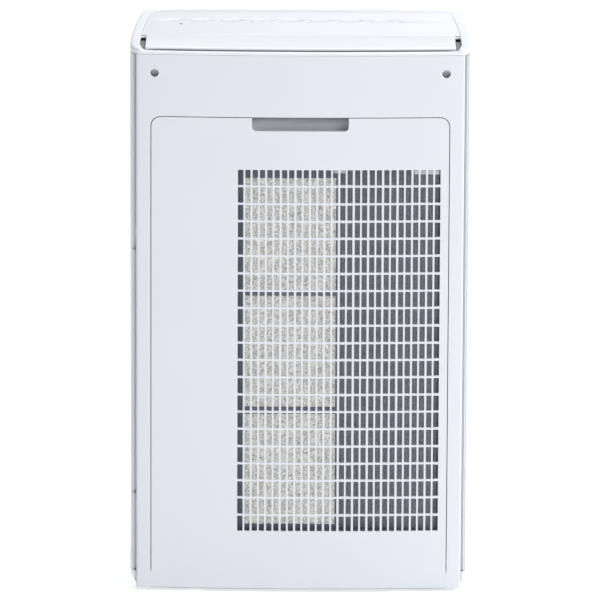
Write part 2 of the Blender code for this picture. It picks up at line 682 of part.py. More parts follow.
def make_rim(mats):
    """The ring round the top, with a rounded upper edge, and a skirt inside the panels."""
    sections = []
    for inset, z in ((0, RIM_BOTTOM), (0, 587 * MM), (0.9 * MM, 589 * MM), (2.8 * MM, HEIGHT)):
        sections.append([(x, y, z) for x, y in outline(inset, inset, inset)])
    rim = loft("top_rim", sections, mats["top"], smooth=True)
    skirt = outline(3.2 * MM, 12 * MM, 5.5 * MM, (8 * MM, 24 * MM), 20 * MM)
    join(rim, prism("rim_skirt", skirt, 574 * MM, RIM_BOTTOM + 1 * MM))
    opening = plate_opening()
    cut(rim, prism("rim_opening", opening, 560 * MM, HEIGHT + 5 * MM, cutter=True))
    rear = rear_strip(-166 * MM, 166 * MM, -2 * MM, 12 * MM)
    cut(rim, prism("rim_lower_lip", rear, 588.3 * MM, HEIGHT + 5 * MM, cutter=True))


def plate_opening(gap=0.0):
    inner_side = WIDTH / 2 - SLOT_HALF
    return outline(RIM_LIP + gap, inner_side + gap, 8 * MM + gap, (9 * MM, 26 * MM), 19 * MM)


def flap_profile(x):
    """Y-Z section of the flap at x: round nose on its axis, flat plate, rounded rear lip."""
    nose = []
    for i in range(9):
        angle = math.radians(90 - 180 * i / 8)
        nose.append((x, FLAP_AXIS_Y + FLAP_NOSE * math.cos(angle),
                     FLAP_AXIS_Z + FLAP_NOSE * math.sin(angle)))
    rear = rear_y(x, FLAP_REAR_INSET)
    under = HEIGHT - FLAP_THICKNESS
    tail = [(x, FLAP_AXIS_Y - 6 * MM, under), (x, rear + 5 * MM, under),
            (x, rear + 3 * MM, HEIGHT - 6 * MM), (x, rear, HEIGHT - 6 * MM)]
    tail += bend((x, rear, HEIGHT - 4 * MM), (x, rear, HEIGHT), (x, rear + 5 * MM, HEIGHT), 5)
    return nose + tail + [(x, rear + 5 * MM, HEIGHT)]


def make_flap(mats):
    """The outlet flap: a flat plate whose rear lip follows the crown of the body."""
    stations = [-FLAP_HALF + 2 * FLAP_HALF * i / 10 for i in range(11)]
    flap = loft("outlet_flap", [flap_profile(x) for x in stations], mats["top"])
    for side in (-1, 1):
        join(flap, cylinder(f"flap_pin_{side}", (side * 168 * MM, FLAP_AXIS_Y, FLAP_AXIS_Z),
                            1.3 * MM, 12 * MM, "X", sides=16))
        hole = cylinder(f"flap_pin_hole_{side}", (side * 170 * MM, FLAP_AXIS_Y, FLAP_AXIS_Z),
                        1.6 * MM, 9 * MM, "X", cutter=True, sides=16)
        cut(bpy.data.objects["top_rim"], hole)
    pivot("flap_axis", (0, FLAP_AXIS_Y, FLAP_AXIS_Z), [flap])


def make_control_plate(mats):
    plate = prism("control_plate", plate_opening(GAP), HEIGHT - PLATE_THICKNESS, HEIGHT,
                  mat=mats["top"])
    rear = FLAP_AXIS_Y + NOSE_CLEARANCE
    cut(plate, box("plate_front_only", (-WIDTH, WIDTH), (-DEPTH, rear), (0.5, 0.7), cutter=True),
        cylinder("plate_nose_seat", (0, FLAP_AXIS_Y, FLAP_AXIS_Z), FLAP_NOSE + GAP, 2 * WIDTH, "X",
                 cutter=True, sides=32))
    for i, name in enumerate(KEYS):
        x = KEY_FIRST_X + KEY_PITCH * i
        cut(plate, cylinder(f"key_hole_{name}", (x, KEY_Y, HEIGHT), KEY_RADIUS + GAP, 20 * MM,
                            cutter=True, sides=32))
        cylinder(f"key_{name}", (x, KEY_Y, HEIGHT - 1.8 * MM), KEY_RADIUS, 3.6 * MM,
                 mat=mats["key"], sides=32)

    board = box("control_board", (-145 * MM, 130 * MM), (28 * MM, 66 * MM),
                (579.7 * MM, 581.3 * MM), mats["board"])
    for x in (-141 * MM, 126 * MM):
        join(board, box(f"board_post_{x:.3f}", (x - 2 * MM, x + 2 * MM), (30 * MM, 34 * MM),
                        (581 * MM, HEIGHT - PLATE_THICKNESS - GAP)))
    for i, name in enumerate(KEYS):
        x = KEY_FIRST_X + KEY_PITCH * i
        join(board, box(f"switch_{name}", (x - 3 * MM, x + 3 * MM),
                        (KEY_Y - 3 * MM, KEY_Y + 3 * MM), (581 * MM, 585.5 * MM)))


# ---------------------------------------------------------------- water side

def ribs_on_front(front, reach, heights):
    """Two ribs inside a moving piece of the side, which carry what stands behind it."""
    for z in heights:
        join(front, box(f"{front.name}_rib_{z:.3f}", (-177.5 * MM, reach - GAP),
                        (-30 * MM, 20 * MM), (z - 2 * MM, z + 2 * MM)))


def make_tank(mats):
    """A clear tank behind its own piece of the left side, with its mouth underneath."""
    tank = box("tank_body", TANK_X, TANK_Y, TANK_Z, mats["tank"])
    neck_low = 104 * MM
    neck_z = (neck_low + TANK_Z[0] + 1 * MM) / 2
    neck_length = TANK_Z[0] + 1 * MM - neck_low
    join(tank, cylinder("tank_neck", (*MOUTH_XY, neck_z), MOUTH_RADIUS, neck_length, sides=32))
    wall = 2.2 * MM
    cut(tank, box("tank_hollow", (TANK_X[0] + wall, TANK_X[1] - wall),
                  (TANK_Y[0] + wall, TANK_Y[1] - wall), (TANK_Z[0] + wall, TANK_Z[1] - wall),
                  cutter=True),
        cylinder("tank_mouth", (*MOUTH_XY, neck_z), MOUTH_RADIUS - wall, 40 * MM, cutter=True,
                 sides=32))
    cap = cylinder("tank_cap", (*MOUTH_XY, 104 * MM), 21 * MM, 20 * MM, mat=mats["cap"], sides=36)
    cut(cap, cylinder("cap_hollow", (*MOUTH_XY, 115 * MM), MOUTH_RADIUS + GAP, 23 * MM,
                      cutter=True, sides=32))

    front = prism("tank_front", side_section(True), *TANK_FRONT, mat=mats["shell"])
    grip = box("tank_grip_notch", (-0.2, -0.16), (-20 * MM, 44 * MM), (356 * MM, 400 * MM),
               cutter=True)
    cut(front, grip)
    ribs_on_front(front, TANK_X[0], (150 * MM, 300 * MM))
    pivot("tank_axis", (*MOUTH_XY, TANK_Z[0]), [tank, front])
    pivot("tank_cap_axis", (*MOUTH_XY, TANK_Z[0]), [cap])

    bay = box("tank_bay_partition", (-98 * MM, -95.5 * MM), (-23.6 * MM, 76 * MM),
              (BASE_TOP + 1 * MM, 376 * MM), mats["inner"])
    join(bay, box("tank_bay_ceiling", (-164 * MM, -96 * MM), (-46 * MM, 76 * MM),
                  (374 * MM, 376.5 * MM)))


def make_humidifier(mats):
    """The water tray under the tank and filters, and the wick that stands in it."""
    well = ((-166 * MM, -99 * MM), (-46 * MM, 72 * MM), (22 * MM, TANK_Z[0] - GAP))
    trough = ((-101 * MM, 168 * MM), (-46 * MM, -28 * MM), (22 * MM, 62 * MM))
    tray = box("water_tray", *well, mats["inner"])
    join(tray, box("tray_trough", *trough))
    wall = 2 * MM
    hollows = [((x[0] + wall, x[1] - wall), (y[0] + wall, y[1] - wall), (z[0] + wall, 0.2))
               for x, y, z in (well, trough)]
    cut(tray, box("tray_well_hollow", *hollows[0], cutter=True),
        box("tray_trough_hollow", (hollows[1][0][0] - 6 * MM, hollows[1][0][1]), hollows[1][1],
            (hollows[1][2][0], 60 * MM), cutter=True),
        box("tray_trough_top", (-98 * MM, hollows[1][0][1]), hollows[1][1], (50 * MM, 0.2),
            cutter=True))
    join(tray, cylinder("valve_post", (*MOUTH_XY, 58 * MM), 3 * MM, 70 * MM, sides=16))
    front = prism("tray_front", side_section(True), BASE_TOP + GAP, TANK_FRONT[0] - GAP,
                  mat=mats["shell"])
    x, z = (-90 * MM, 160 * MM), (26 * MM, 366 * MM)
    y = (-43 * MM, -31 * MM)
    frame = box("wick_frame", x, y, z, mats["inner"])
    edge = 6 * MM
    inner_x, inner_z = (x[0] + edge, x[1] - edge), (z[0] + edge, z[1] - edge)
    cut(frame, box("wick_window", inner_x, (-60 * MM, -20 * MM), inner_z, cutter=True))
    wick = box("wick_filter", (inner_x[0] + GAP, inner_x[1] - GAP),
               (y[0] + 1 * MM, y[1] - 1 * MM), (inner_z[0] + GAP, inner_z[1] - GAP),
               mats["wick"])
    ribs_on_front(front, well[0][0], (40 * MM, 90 * MM))
    pivot("drawer_axis", (well[0][0], 0, well[2][0]), [tray, front, frame, wick])


# ---------------------------------------------------------------- electrics

def make_electrics(mats):
    board_x, board_z = (-42 * MM, 38 * MM), (192 * MM, 246 * MM)
    back = SCROLL_Y[1] + GAP
    board = box("power_board", board_x, (back + 6 * MM, back + 7.6 * MM), board_z, mats["board"])
    for x in (board_x[0] + 5 * MM, board_x[1] - 5 * MM):
        for z in (board_z[0] + 5 * MM, board_z[1] - 5 * MM):
            join(board, cylinder(f"power_post_{x:.3f}_{z:.3f}", (x, back + 3.5 * MM, z), 3 * MM,
                                 7 * MM, "Y", sides=12))
    inlet = box("mains_inlet", (148 * MM, 176.1 * MM), (20 * MM, 48 * MM), (32 * MM, 52 * MM),
                mats["socket"])
    cut(inlet, box("inlet_socket", (156 * MM, 200 * MM), (25 * MM, 43 * MM), (37 * MM, 47 * MM),
                   cutter=True))
    for y in (31 * MM, 37 * MM):
        join(inlet, cylinder(f"inlet_pin_{y:.3f}", (161 * MM, y, 42 * MM), 1.2 * MM, 14 * MM, "X",
                             sides=12))
    cut(bpy.data.objects["side_panel_right"],
        box("inlet_opening", (160 * MM, 0.2), (20 * MM - GAP, 48 * MM + GAP),
            (32 * MM - GAP, 52 * MM + GAP), cutter=True))
    sensor = box("dust_sensor", (146 * MM, 174 * MM), (-20 * MM, 20 * MM), (480 * MM, 512 * MM),
                 mats["socket"])
    cut(sensor, cylinder("sensor_hole", (160 * MM, 0, 500 * MM), 4 * MM, 90 * MM, "Y",
                         cutter=True, sides=16))


def build():
    clear_scene()
    mats = make_materials()
    make_base(mats)
    make_side_panels(mats)
    make_front_panel(mats)
    make_fascia(mats)
    make_rear_cover(mats)
    make_filters(mats)
    make_filter_bay(mats)
    make_fan(mats)
    make_outlet(mats)
    make_rim(mats)
    make_flap(mats)
    make_control_plate(mats)
    make_tank(mats)
    make_humidifier(mats)
    make_electrics(mats)


build()
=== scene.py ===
"""Looks of a humidifying air purifier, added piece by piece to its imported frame.

Metres, +Z up. The intake grille is at -Y, the user stands at +Y, and the tank is on the left.
"""
from contextlib import contextmanager

import bmesh
import bpy
import numpy as np
from mathutils import Matrix, Vector


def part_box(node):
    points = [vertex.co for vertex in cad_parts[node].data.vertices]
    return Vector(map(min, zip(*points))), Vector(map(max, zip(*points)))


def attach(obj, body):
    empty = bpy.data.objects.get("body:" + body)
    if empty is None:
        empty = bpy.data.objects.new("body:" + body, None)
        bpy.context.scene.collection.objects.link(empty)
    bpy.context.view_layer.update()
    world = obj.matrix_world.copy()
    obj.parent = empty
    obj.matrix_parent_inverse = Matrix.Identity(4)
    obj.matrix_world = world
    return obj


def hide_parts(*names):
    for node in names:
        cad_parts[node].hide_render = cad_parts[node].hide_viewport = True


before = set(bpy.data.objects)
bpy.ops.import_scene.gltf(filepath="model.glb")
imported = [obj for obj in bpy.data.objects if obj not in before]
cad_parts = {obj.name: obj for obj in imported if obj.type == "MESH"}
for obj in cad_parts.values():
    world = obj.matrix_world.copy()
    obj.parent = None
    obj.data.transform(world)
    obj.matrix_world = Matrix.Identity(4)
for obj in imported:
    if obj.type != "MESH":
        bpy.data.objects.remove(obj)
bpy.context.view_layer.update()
MM = 0.001


# ---------- camera, light and floor
# A long lens looks a little down on the intake side. One wide lamp stands high on the right and
# a second lies over the top. The sky is darker towards the left, and the pale floor glows
# faintly, so that it runs back white.

def placed(name, data):
    """A new object in the scene."""
    obj = bpy.data.objects.new(name, data)
    bpy.context.collection.objects.link(obj)
    return obj


def place_camera():
    """Back from the aim along the view, which is turned down and rolled a little."""
    down, roll, distance = np.radians(13.1), np.radians(0.25), 8.2
    aim = (0.0004, -0.113, 0.320)
    camera = placed("camera", bpy.data.cameras.new("camera"))
    camera.data.lens, camera.data.clip_end = 465, 60
    camera.matrix_world = (Matrix.Translation(aim) @ Matrix.Rotation(np.pi / 2 - down, 4, "X")
                           @ Matrix.Rotation(roll, 4, "Z") @ Matrix.Translation((0, 0, distance)))
    bpy.context.scene.camera = camera


def lamp(name, place, aim, size, power):
    """A square lamp that faces its aim."""
    data = bpy.data.lights.new(name, "AREA")
    data.shape, data.size, data.energy = "SQUARE", size, power
    obj = placed(name, data)
    obj.location = place
    obj.rotation_euler = (Vector(aim) - obj.location).to_track_quat("-Z", "Y").to_euler()


bpy.context.scene.view_settings.view_transform = "Standard"
place_camera()
lamp("key_lamp", place=(2.6, -2.0, 2.3), aim=(0, 0, 0.3), size=1.6, power=46)
lamp("top_lamp", place=(0.3, 0.6, 2.6), aim=(0, 0, 0.4), size=1.8, power=38)


class Net:
    """A socket in a material. + and * on it add Math nodes, and node() adds any other node."""

    def __init__(self, tree, socket=None):
        self.tree, self.socket = tree, socket

    def node(self, kind, settings=None, links=None, output=0):
        """A node of a kind: its settings are set first, then its sockets' values or links."""
        made = self.tree.nodes.new("ShaderNode" + kind)
        for key, value in (settings or {}).items():
            setattr(made, key, value)
        for key, value in (links or {}).items():
            if isinstance(value, Net):
                self.tree.links.new(value.socket, made.inputs[key])
            else:
                made.inputs[key].default_value = value
        return Net(self.tree, made.outputs[output])

    def __add__(self, other):
        return self.node("Math", {"operation": "ADD"}, {0: self, 1: other})

    def __mul__(self, other):
        return self.node("Math", {"operation": "MULTIPLY"}, {0: self, 1: other})

    __radd__, __rmul__ = __add__, __mul__

    def tint(self, low, high):
        """A colour that goes from low to high as this value goes from 0 to 1."""
        return self.node("Mix", {"data_type": "RGBA"}, {0: self, 6: (*low, 1), 7: (*high, 1)}, 2)

    def feed(self, shader, name):
        self.tree.links.new(self.socket, shader.inputs[name])


def make_world():
    """A pale sky that is darker towards the left."""
    world = bpy.data.worlds.new("studio")
    bpy.context.scene.world = world
    world.use_nodes = True
    net, shader = Net(world.node_tree), world.node_tree.nodes["Background"]
    side = net.node("SeparateXYZ", None, {"Vector": net.node("TexCoord")})
    share = net.node("MapRange", None, {"Value": side, "From Min": -1.0, "From Max": 0.15})
    share.tint((0.12, 0.125, 0.14), (0.94, 0.96, 1.0)).feed(shader, "Color")
    shader.inputs["Strength"].default_value = 0.60


make_world()


def new_material(name):
    """A material, its net, its shader, and the object coordinates of a point on its piece."""
    mat = bpy.data.materials.new(name)
    mat.use_nodes = True
    net = Net(mat.node_tree)
    return mat, net, mat.node_tree.nodes["Principled BSDF"], net.node("TexCoord", output=3)


def finish(name, colour, roughness, grain=0.35, relief=0.02, mottle=0.03, **constants):
    """A moulded plastic: fine spark-eroded grain, slight mottling, and uneven polish.

    grain is the grain's size in mm and relief its height in mm; mottle is a share of the colour.
    """
    mat, net, shader, place = new_material(name)
    fine = net.node("TexNoise", None, {"Vector": place, "Scale": 1000 / grain / 4, "Detail": 2})
    broad = net.node("TexNoise", None, {"Vector": place, "Scale": 14, "Detail": 3})
    broad.tint([c * (1 - mottle) for c in colour], colour).feed(shader, "Base Color")
    (broad * 0.10 + fine * 0.06 + (roughness - 0.08)).feed(shader, "Roughness")
    bump = net.node("Bump", None, {"Height": fine, "Distance": relief * MM, "Strength": 1.0})
    bump.feed(shader, "Normal")
    for key, value in constants.items():
        shader.inputs[key.replace("_", " ")].default_value = value
    return mat


floor_finish = finish("floor_finish", (0.90, 0.91, 0.92), 0.75, grain=2.0, mottle=0.01,
                      Emission_Color=(1, 1, 1, 1), Emission_Strength=0.50)
bpy.ops.mesh.primitive_plane_add(size=40)
floor = bpy.context.object
floor.name = "studio_floor"
floor.data.materials.append(floor_finish)


# ---------- floor pan
# The pan closes the body underneath: one moulding in the shell's satin bluish white, whose
# edge curves in below. It stops short at the rear, where the fascia comes down in front of it.

WIDTH, DEPTH, FIT_GAP = 360 * MM, 230 * MM, 0.35 * MM
REAR_CROWN, FRONT_CROWN, SIDE_TAPER, WIDEST_Y = 8 * MM, 5 * MM, 0.27, -85 * MM
REAR_CORNER, FRONT_CORNER = (11 * MM, 32 * MM), 25 * MM
BASE_LOW, BASE_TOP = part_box("base_tray")[0].z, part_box("base_tray")[1].z
FASCIA_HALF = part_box("rear_fascia")[1].x
shell = finish("shell_satin", (0.785, 0.803, 0.835), 0.42)


def rear_y(x):
    """The rear bulges as a parabola in plan."""
    return REAR_CROWN * (x / (WIDTH / 2)) ** 2 - DEPTH / 2


def front_y(x):
    """The front bulges less, as a parabola too."""
    return DEPTH / 2 - FRONT_CROWN * (x / (WIDTH / 2)) ** 2


def side_x(y):
    """Half of the width: the sides lean inwards as a parabola from the widest place on."""
    return WIDTH / 2 - SIDE_TAPER * np.maximum(0, y - WIDEST_Y) ** 2


def bend(a, b, c, n):
    """Quadratic curve from a to c that leaves and arrives along the lines to b."""
    t = np.linspace(0, 1, n)[:, None]
    return (1 - t) ** 2 * np.array(a) + 2 * t * (1 - t) * np.array(b) + t ** 2 * np.array(c)


def half_plan(rear=0.0, side=0.0, front=0.0, rear_corner=REAR_CORNER, front_corner=FRONT_CORNER,
              n=24):
    """Right half of the body's plan, inset from it, from the rear middle to the front middle."""
    x1 = side_x(-DEPTH / 2) - side
    y1 = rear_y(x1) + rear
    x2 = x1 - rear_corner[0]
    y2 = y1 + rear_corner[1]
    x3 = side_x(DEPTH / 2) - side
    y3 = front_y(x3) - front
    x = np.linspace(0, x2, n)
    y = np.linspace(y2, y3 - front_corner, n)
    xf = np.linspace(x3 - front_corner, 0, n)
    corner = bend((x2, rear_y(x2) + rear), (x1, y1), (side_x(y2) - side, y2), n)
    bow = bend((side_x(y3 - front_corner) - side, y3 - front_corner), (x3, y3),
               (xf[0], front_y(xf[0]) - front), n)
    return np.vstack([np.c_[x, rear_y(x) + rear], corner[1:-1], np.c_[side_x(y) - side, y],
                      bow[1:-1], np.c_[xf, front_y(xf) - front]])


def plan(*insets, **corners):
    """The whole plan, anticlockwise from the rear middle."""
    right = half_plan(*insets, **corners)
    return np.vstack([right, right[-2:0:-1] * (-1, 1)])


def at(points, z):
    """Plan points at height z, which is one number or one for each point."""
    return np.c_[points, np.broadcast_to(z, len(points))]


def patch(points, rows=False, columns=False, keep=None, caps=(), flip=False):
    """Vertices and faces of a grid of points. Its last line may join its first, keep drops
    cells, and caps names the lines, 0 or -1, that a flat face closes."""
    points = np.asarray(points, float)
    index = np.arange(points.shape[0] * points.shape[1]).reshape(points.shape[:2])
    ends = [index[line] if line else index[line][::-1] for line in caps]
    if rows:
        index = np.vstack([index, index[:1]])
    if columns:
        index = np.hstack([index, index[:, :1]])
    quads = np.stack([index[:-1, :-1], index[:-1, 1:], index[1:, 1:], index[1:, :-1]], -1)
    quads = quads[keep] if keep is not None else quads.reshape(-1, 4)
    faces = quads.tolist() + [end.tolist() for end in ends]
    return points.reshape(-1, 3), [face[::-1] for face in faces] if flip else faces


@contextmanager
def edited(mesh, merge):
    """Open a mesh for editing, with the vertices that are closer than merge made one."""
    bm = bmesh.new()
    bm.from_mesh(mesh)
    bmesh.ops.remove_doubles(bm, verts=bm.verts, dist=merge)
    yield bm
    bm.to_mesh(mesh)
    bm.free()


def piece(name, patches, mat, nodes=(), body="housing", wall=0.0, **looks):
    """One mesh object from patches, whose doubles are merged. fit() does the rest."""
    vertices, faces, start = [], [], 0
    for points, part in patches:
        vertices.append(points)
        faces += [[i + start for i in face] for face in part]
        start += len(points)
    mesh = bpy.data.meshes.new(name)
    mesh.from_pydata(np.vstack(vertices), [], faces)
    with edited(mesh, 0.01 * MM) as bm:
        bmesh.ops.dissolve_degenerate(bm, edges=bm.edges, dist=0.005 * MM)
        bmesh.ops.delete(bm, geom=[v for v in bm.verts if not v.link_faces], context="VERTS")
        if not wall:
            bmesh.ops.recalc_face_normals(bm, faces=bm.faces)
    fit(name, mesh, mat, nodes, body, wall, **looks)


def fit(name, mesh, mat, nodes, body="housing", wall=0.0, edge=0.0, angle=35, segments=2):
    """A mesh becomes a piece that rides on body in place of the CAD nodes. wall thickens it
    inwards, and edge rounds what is sharper than 40 degrees."""
    mesh.shade_smooth()
    if not edge:
        mesh.set_sharp_from_angle(angle=np.radians(angle))
    mesh.materials.clear()
    mesh.materials.append(mat)
    obj = placed(name, mesh)
    if wall:
        solidify = obj.modifiers.new("wall", "SOLIDIFY")
        solidify.thickness, solidify.offset = wall, -1
    if edge:
        bevel = obj.modifiers.new("edge", "BEVEL")
        bevel.width, bevel.segments, bevel.limit_method = edge, segments, "ANGLE"
        bevel.angle_limit, bevel.harden_normals = np.radians(40), True
    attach(obj, body)
    if nodes:
        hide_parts(*nodes)


def make_floor_pan():
    """Rings from the underside's flat, out round the quarter-oval edge, over the top and down."""
    reach, seat_depth, soft, rim, floor_height = 8 * MM, 13.7 * MM, 0.4 * MM, 14 * MM, 3 * MM
    lift = np.sin(np.linspace(0, np.pi / 2, 12))
    rings = [(reach * (1 - np.sqrt(1 - (1 - s) ** 2)), BASE_LOW + (BASE_TOP - BASE_LOW) * s)
             for s in lift]
    rings += [(soft, BASE_TOP), (rim - soft, BASE_TOP), (rim, BASE_TOP - soft),
              (rim, BASE_LOW + floor_height)]
    grid = []
    for inset, z in rings:
        ring = plan(inset, inset, inset, n=60)
        under = np.abs(ring[:, 0]) < FASCIA_HALF + FIT_GAP
        seat = rear_y(ring[:, 0]) + seat_depth
        ring[:, 1] = np.where(under, np.maximum(ring[:, 1], seat), ring[:, 1])
        grid.append(at(ring, z))
    piece("floor_pan", [patch(grid, columns=True, caps=(0, -1))], shell, ["base_tray"], angle=30)


make_floor_pan()


# ---------- feet
# Four rubber discs are glued under the pan. Their lower edge is rounded, and a shallow ring is
# moulded into the face that meets the floor.

def turned(profile, centre, axis="Z", n=48):
    """A profile of (radius, height) turned about an axis through centre."""
    profile = np.asarray(profile, float)
    angle = np.linspace(0, 2 * np.pi, n, endpoint=False)
    radius, height = profile[:, :1], profile[:, 1:]
    a, b = radius * np.cos(angle), radius * np.sin(angle)
    h = height + 0 * angle
    order = {"Z": (a, b, h), "Y": (b, h, a), "X": (h, a, b)}[axis]
    return patch(np.stack(order, -1) + np.array(centre), columns=True)


def middle_of(node):
    """The middle of a node in plan."""
    low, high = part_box(node)
    return (low.x + high.x) / 2, (low.y + high.y) / 2


FOOT_STEPS = np.array([(0, 0.9), (-0.3, 0.3), (-0.9, 0), (-2.5, 0), (-2.9, 0.5), (-4.2, 0.5),
                       (-4.6, 0)]) * MM
rubber = finish("foot_rubber", (0.12, 0.12, 0.125), 0.80, grain=0.9, relief=0.05, mottle=0.15)


def make_feet():
    """Turned from the glued face's middle out, round the lower edge and in over the ring."""
    for node in ("foot_rear_left", "foot_rear_right", "foot_front_left", "foot_front_right"):
        low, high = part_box(node)
        radius, top = (high.x - low.x) / 2, high.z
        profile = [(0, top), (radius, top), *(FOOT_STEPS + (radius, 0)), (0, 0)]
        piece(node + "_pad", [turned(profile, (*middle_of(node), 0))], rubber, [node], angle=30)


make_feet()


# ---------- side panels
# Each side is a thin moulding. It starts at a flange in the groove beside the fascia, turns
# round the long rear corner, and runs to the seam with the front. The right one is in one
# piece; on the left the tank and the tray carry their own parts of it, with a grip between.

PANEL_WALL = 2.5 * MM
GROOVE_X, LIP_Y = 175.2 * MM, -98 * MM
SEAM_Y = 78 * MM
PANEL_EDGE = 0.4 * MM
GRIP_Y, GRIP_Z = (-20 * MM, 44 * MM), (356 * MM, 400 * MM)


def side_path(left):
    """Plan line of a side: flange, groove wall, rear corner, then the side up to the seam."""
    outer = half_plan(n=40)
    outer = outer[(outer[:, 0] > GROOVE_X) & (outer[:, 1] < SEAM_Y)]
    path = np.vstack([(FASCIA_HALF + 0.4 * MM, LIP_Y), (GROOVE_X, LIP_Y),
                      (GROOVE_X, outer[0, 1] + 0.6 * MM), outer, (side_x(SEAM_Y), SEAM_Y)])
    return path * (-1, 1) if left else path


def make_side(name, node, left=True, body="housing", window=None):
    """The line of the side carried up; cells inside the window of y and z are dropped, and a
    window on the left is the grip and gets its lip."""
    low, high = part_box(node)[0].z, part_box(node)[1].z
    path, levels = side_path(left), np.array([low, high])
    keep = None
    if window:
        span, heights = window
        extra = [(np.sign(path[-1, 0]) * side_x(y), y) for y in span]
        path = np.vstack([path, extra])
        order = np.r_[0:4, 4 + np.argsort(path[4:, 1])]
        path = path[order]
        levels = np.unique(np.clip([low, *heights, high], low, high))
        y = (path[1:, 1] + path[:-1, 1]) / 2
        z = (levels[1:] + levels[:-1]) / 2
        inside = (y > span[0]) & (y < span[1]) & (np.abs(path[1:, 0]) > 170 * MM)
        keep = ~(inside[None, :] & ((z > heights[0]) & (z < heights[1]))[:, None])
    patches = [patch([at(path, z) for z in levels], keep=keep, flip=left)]
    if left and window:
        patches.append(grip_lip())
    piece(name, patches, shell, [node], body, wall=PANEL_WALL, edge=PANEL_EDGE)


def grip_lip():
    """A rounded shelf under the grip notch, for the fingertips."""
    y = np.linspace(*GRIP_Y, 9)
    return patch([at(np.c_[-side_x(y) + depth, y], GRIP_Z[0] - drop)
                  for depth, drop in ((0.3 * MM, 0), (6 * MM, 0.4 * MM), (8 * MM, 3 * MM))])


def make_sides():
    low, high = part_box("mains_inlet")
    socket = ((low.y - FIT_GAP, high.y + FIT_GAP), (low.z - FIT_GAP, high.z + FIT_GAP))
    make_side("side_moulding_right", "side_panel_right", left=False, window=socket)
    make_side("side_moulding_left", "side_panel_left_upper")
    make_side("tank_side_moulding", "tank_front", body="water_drawer", window=(GRIP_Y, GRIP_Z))
    make_side("tray_side_moulding", "tray_front", body="water_drawer")


make_sides()


# ---------- front panel
# The front wraps round both front corners in one smooth moulding and is clipped to the sides
# at the seams.

def make_front():
    """The plan line from the right seam to the left one, carried up the whole body."""
    low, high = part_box("front_panel")
    seam = SEAM_Y + FIT_GAP
    right = half_plan(n=40)
    right = np.vstack([(side_x(seam), seam), right[right[:, 1] > seam + 1 * MM]])
    path = np.vstack([right, right[-2::-1] * (-1, 1)])
    piece("front_moulding", [patch([at(path, low.z), at(path, high.z)])], shell, ["front_panel"],
          wall=PANEL_WALL, edge=PANEL_EDGE)


make_front()


# ---------- rear fascia
# The fascia frames the cover: a crowned moulding with rounded sides that turn into walls, an
# opening with rounded upper corners, and two deep wells for the screws near its top.

COVER_LOW, COVER_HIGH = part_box("rear_cover")
COVER_HALF, COVER_TOP = COVER_HIGH.x, COVER_HIGH.z
COVER_CORNER, COVER_WALL = 10 * MM, 2.6 * MM
FASCIA_EDGE = 2.6 * MM
SCREW_X, SCREW_Z, SCREW_SINK, WELL_RADIUS = 153.5 * MM, 563.5 * MM, 10 * MM, 4.4 * MM
SHUT_GAP = 0.9 * MM
CLOSE = 0.002 * MM
WELL_REACH = 1.8


def grid_of(*lines):
    """x and z of a grid's nodes from the lines along each, sorted and without repeats."""
    along = [np.unique(np.concatenate([np.atleast_1d(part) for part in group]).round(7))
             for group in lines]
    return np.meshgrid(*along)


def pierce(x, z, windows=(), wells=()):
    """Open a grid. windows are (x0, x1, z0, z1, lower and upper corner radius): a node inside a
    corner's arc goes out to the arc. wells are (x, z, radius): the squares round one become
    circles, out to WELL_REACH radii. Returns the nodes' new places and the cells left, which
    are neither wholly in one opening nor folded over."""
    inside = np.full(x.shape, -1)
    new_x, new_z = x.copy(), z.copy()
    for k, (x0, x1, z0, z1, r_low, r_high) in enumerate(windows):
        r = np.where(z < (z0 + z1) / 2, r_low, r_high)
        within = (x > x0 - CLOSE) & (x < x1 + CLOSE) & (z > z0 - CLOSE) & (z < z1 + CLOSE)
        side_a = np.where(x < x0 + r + CLOSE, -1, np.where(x > x1 - r - CLOSE, 1, 0))
        side_b = np.where(z < z0 + r + CLOSE, -1, np.where(z > z1 - r - CLOSE, 1, 0))
        middle_a = np.where(side_a < 0, x0 + r, x1 - r)
        middle_b = np.where(side_b < 0, z0 + r, z1 - r)
        a, b = (x - middle_a) / r, (z - middle_b) / r
        corner = within & (side_a != 0) & (side_b != 0)
        far = np.hypot(a, b)
        centre = far < 1e-3
        a, b = np.where(centre, side_a, a), np.where(centre, side_b, b)
        push = corner & (far < 1 - 1e-5)
        scale = r / np.hypot(a, b).clip(1e-9)
        new_x = np.where(push, middle_a + a * scale, new_x)
        new_z = np.where(push, middle_b + b * scale, new_z)
        inside[within & ~(corner & (far > 1 + 1e-5))] = k
    for k, (cx, cz, r) in enumerate(wells):
        a, b = x - cx, z - cz
        square, reach = np.maximum(np.abs(a), np.abs(b)), WELL_REACH * r
        share = np.clip((reach - square) / (reach - r), 0, 1)
        scale = 1 + share * (square / np.hypot(a, b).clip(1e-9) - 1)
        new_x = np.where(share > 0, cx + a * scale, new_x)
        new_z = np.where(share > 0, cz + b * scale, new_z)
        inside[square < r + CLOSE] = len(windows) + k
    corners = [inside[:-1, :-1], inside[:-1, 1:], inside[1:, 1:], inside[1:, :-1]]
    same = (np.ptp(corners, axis=0) == 0) & (corners[0] >= 0)
    nodes = np.stack([new_x, new_z])
    rise = nodes[:, 1:, 1:] - nodes[:, :-1, :-1]
    fall = nodes[:, 1:, :-1] - nodes[:, :-1, 1:]
    area = rise[0] * fall[1] - rise[1] * fall[0]
    return new_x, new_z, ~same & (area > 0)


def well_lines(middle):
    """Grid lines across a screw's well, and one at each end of the bent grid round it."""
    reach = WELL_REACH * WELL_RADIUS
    return np.r_[np.linspace(middle - WELL_RADIUS, middle + WELL_RADIUS, 9), middle - reach,
                 middle + reach]


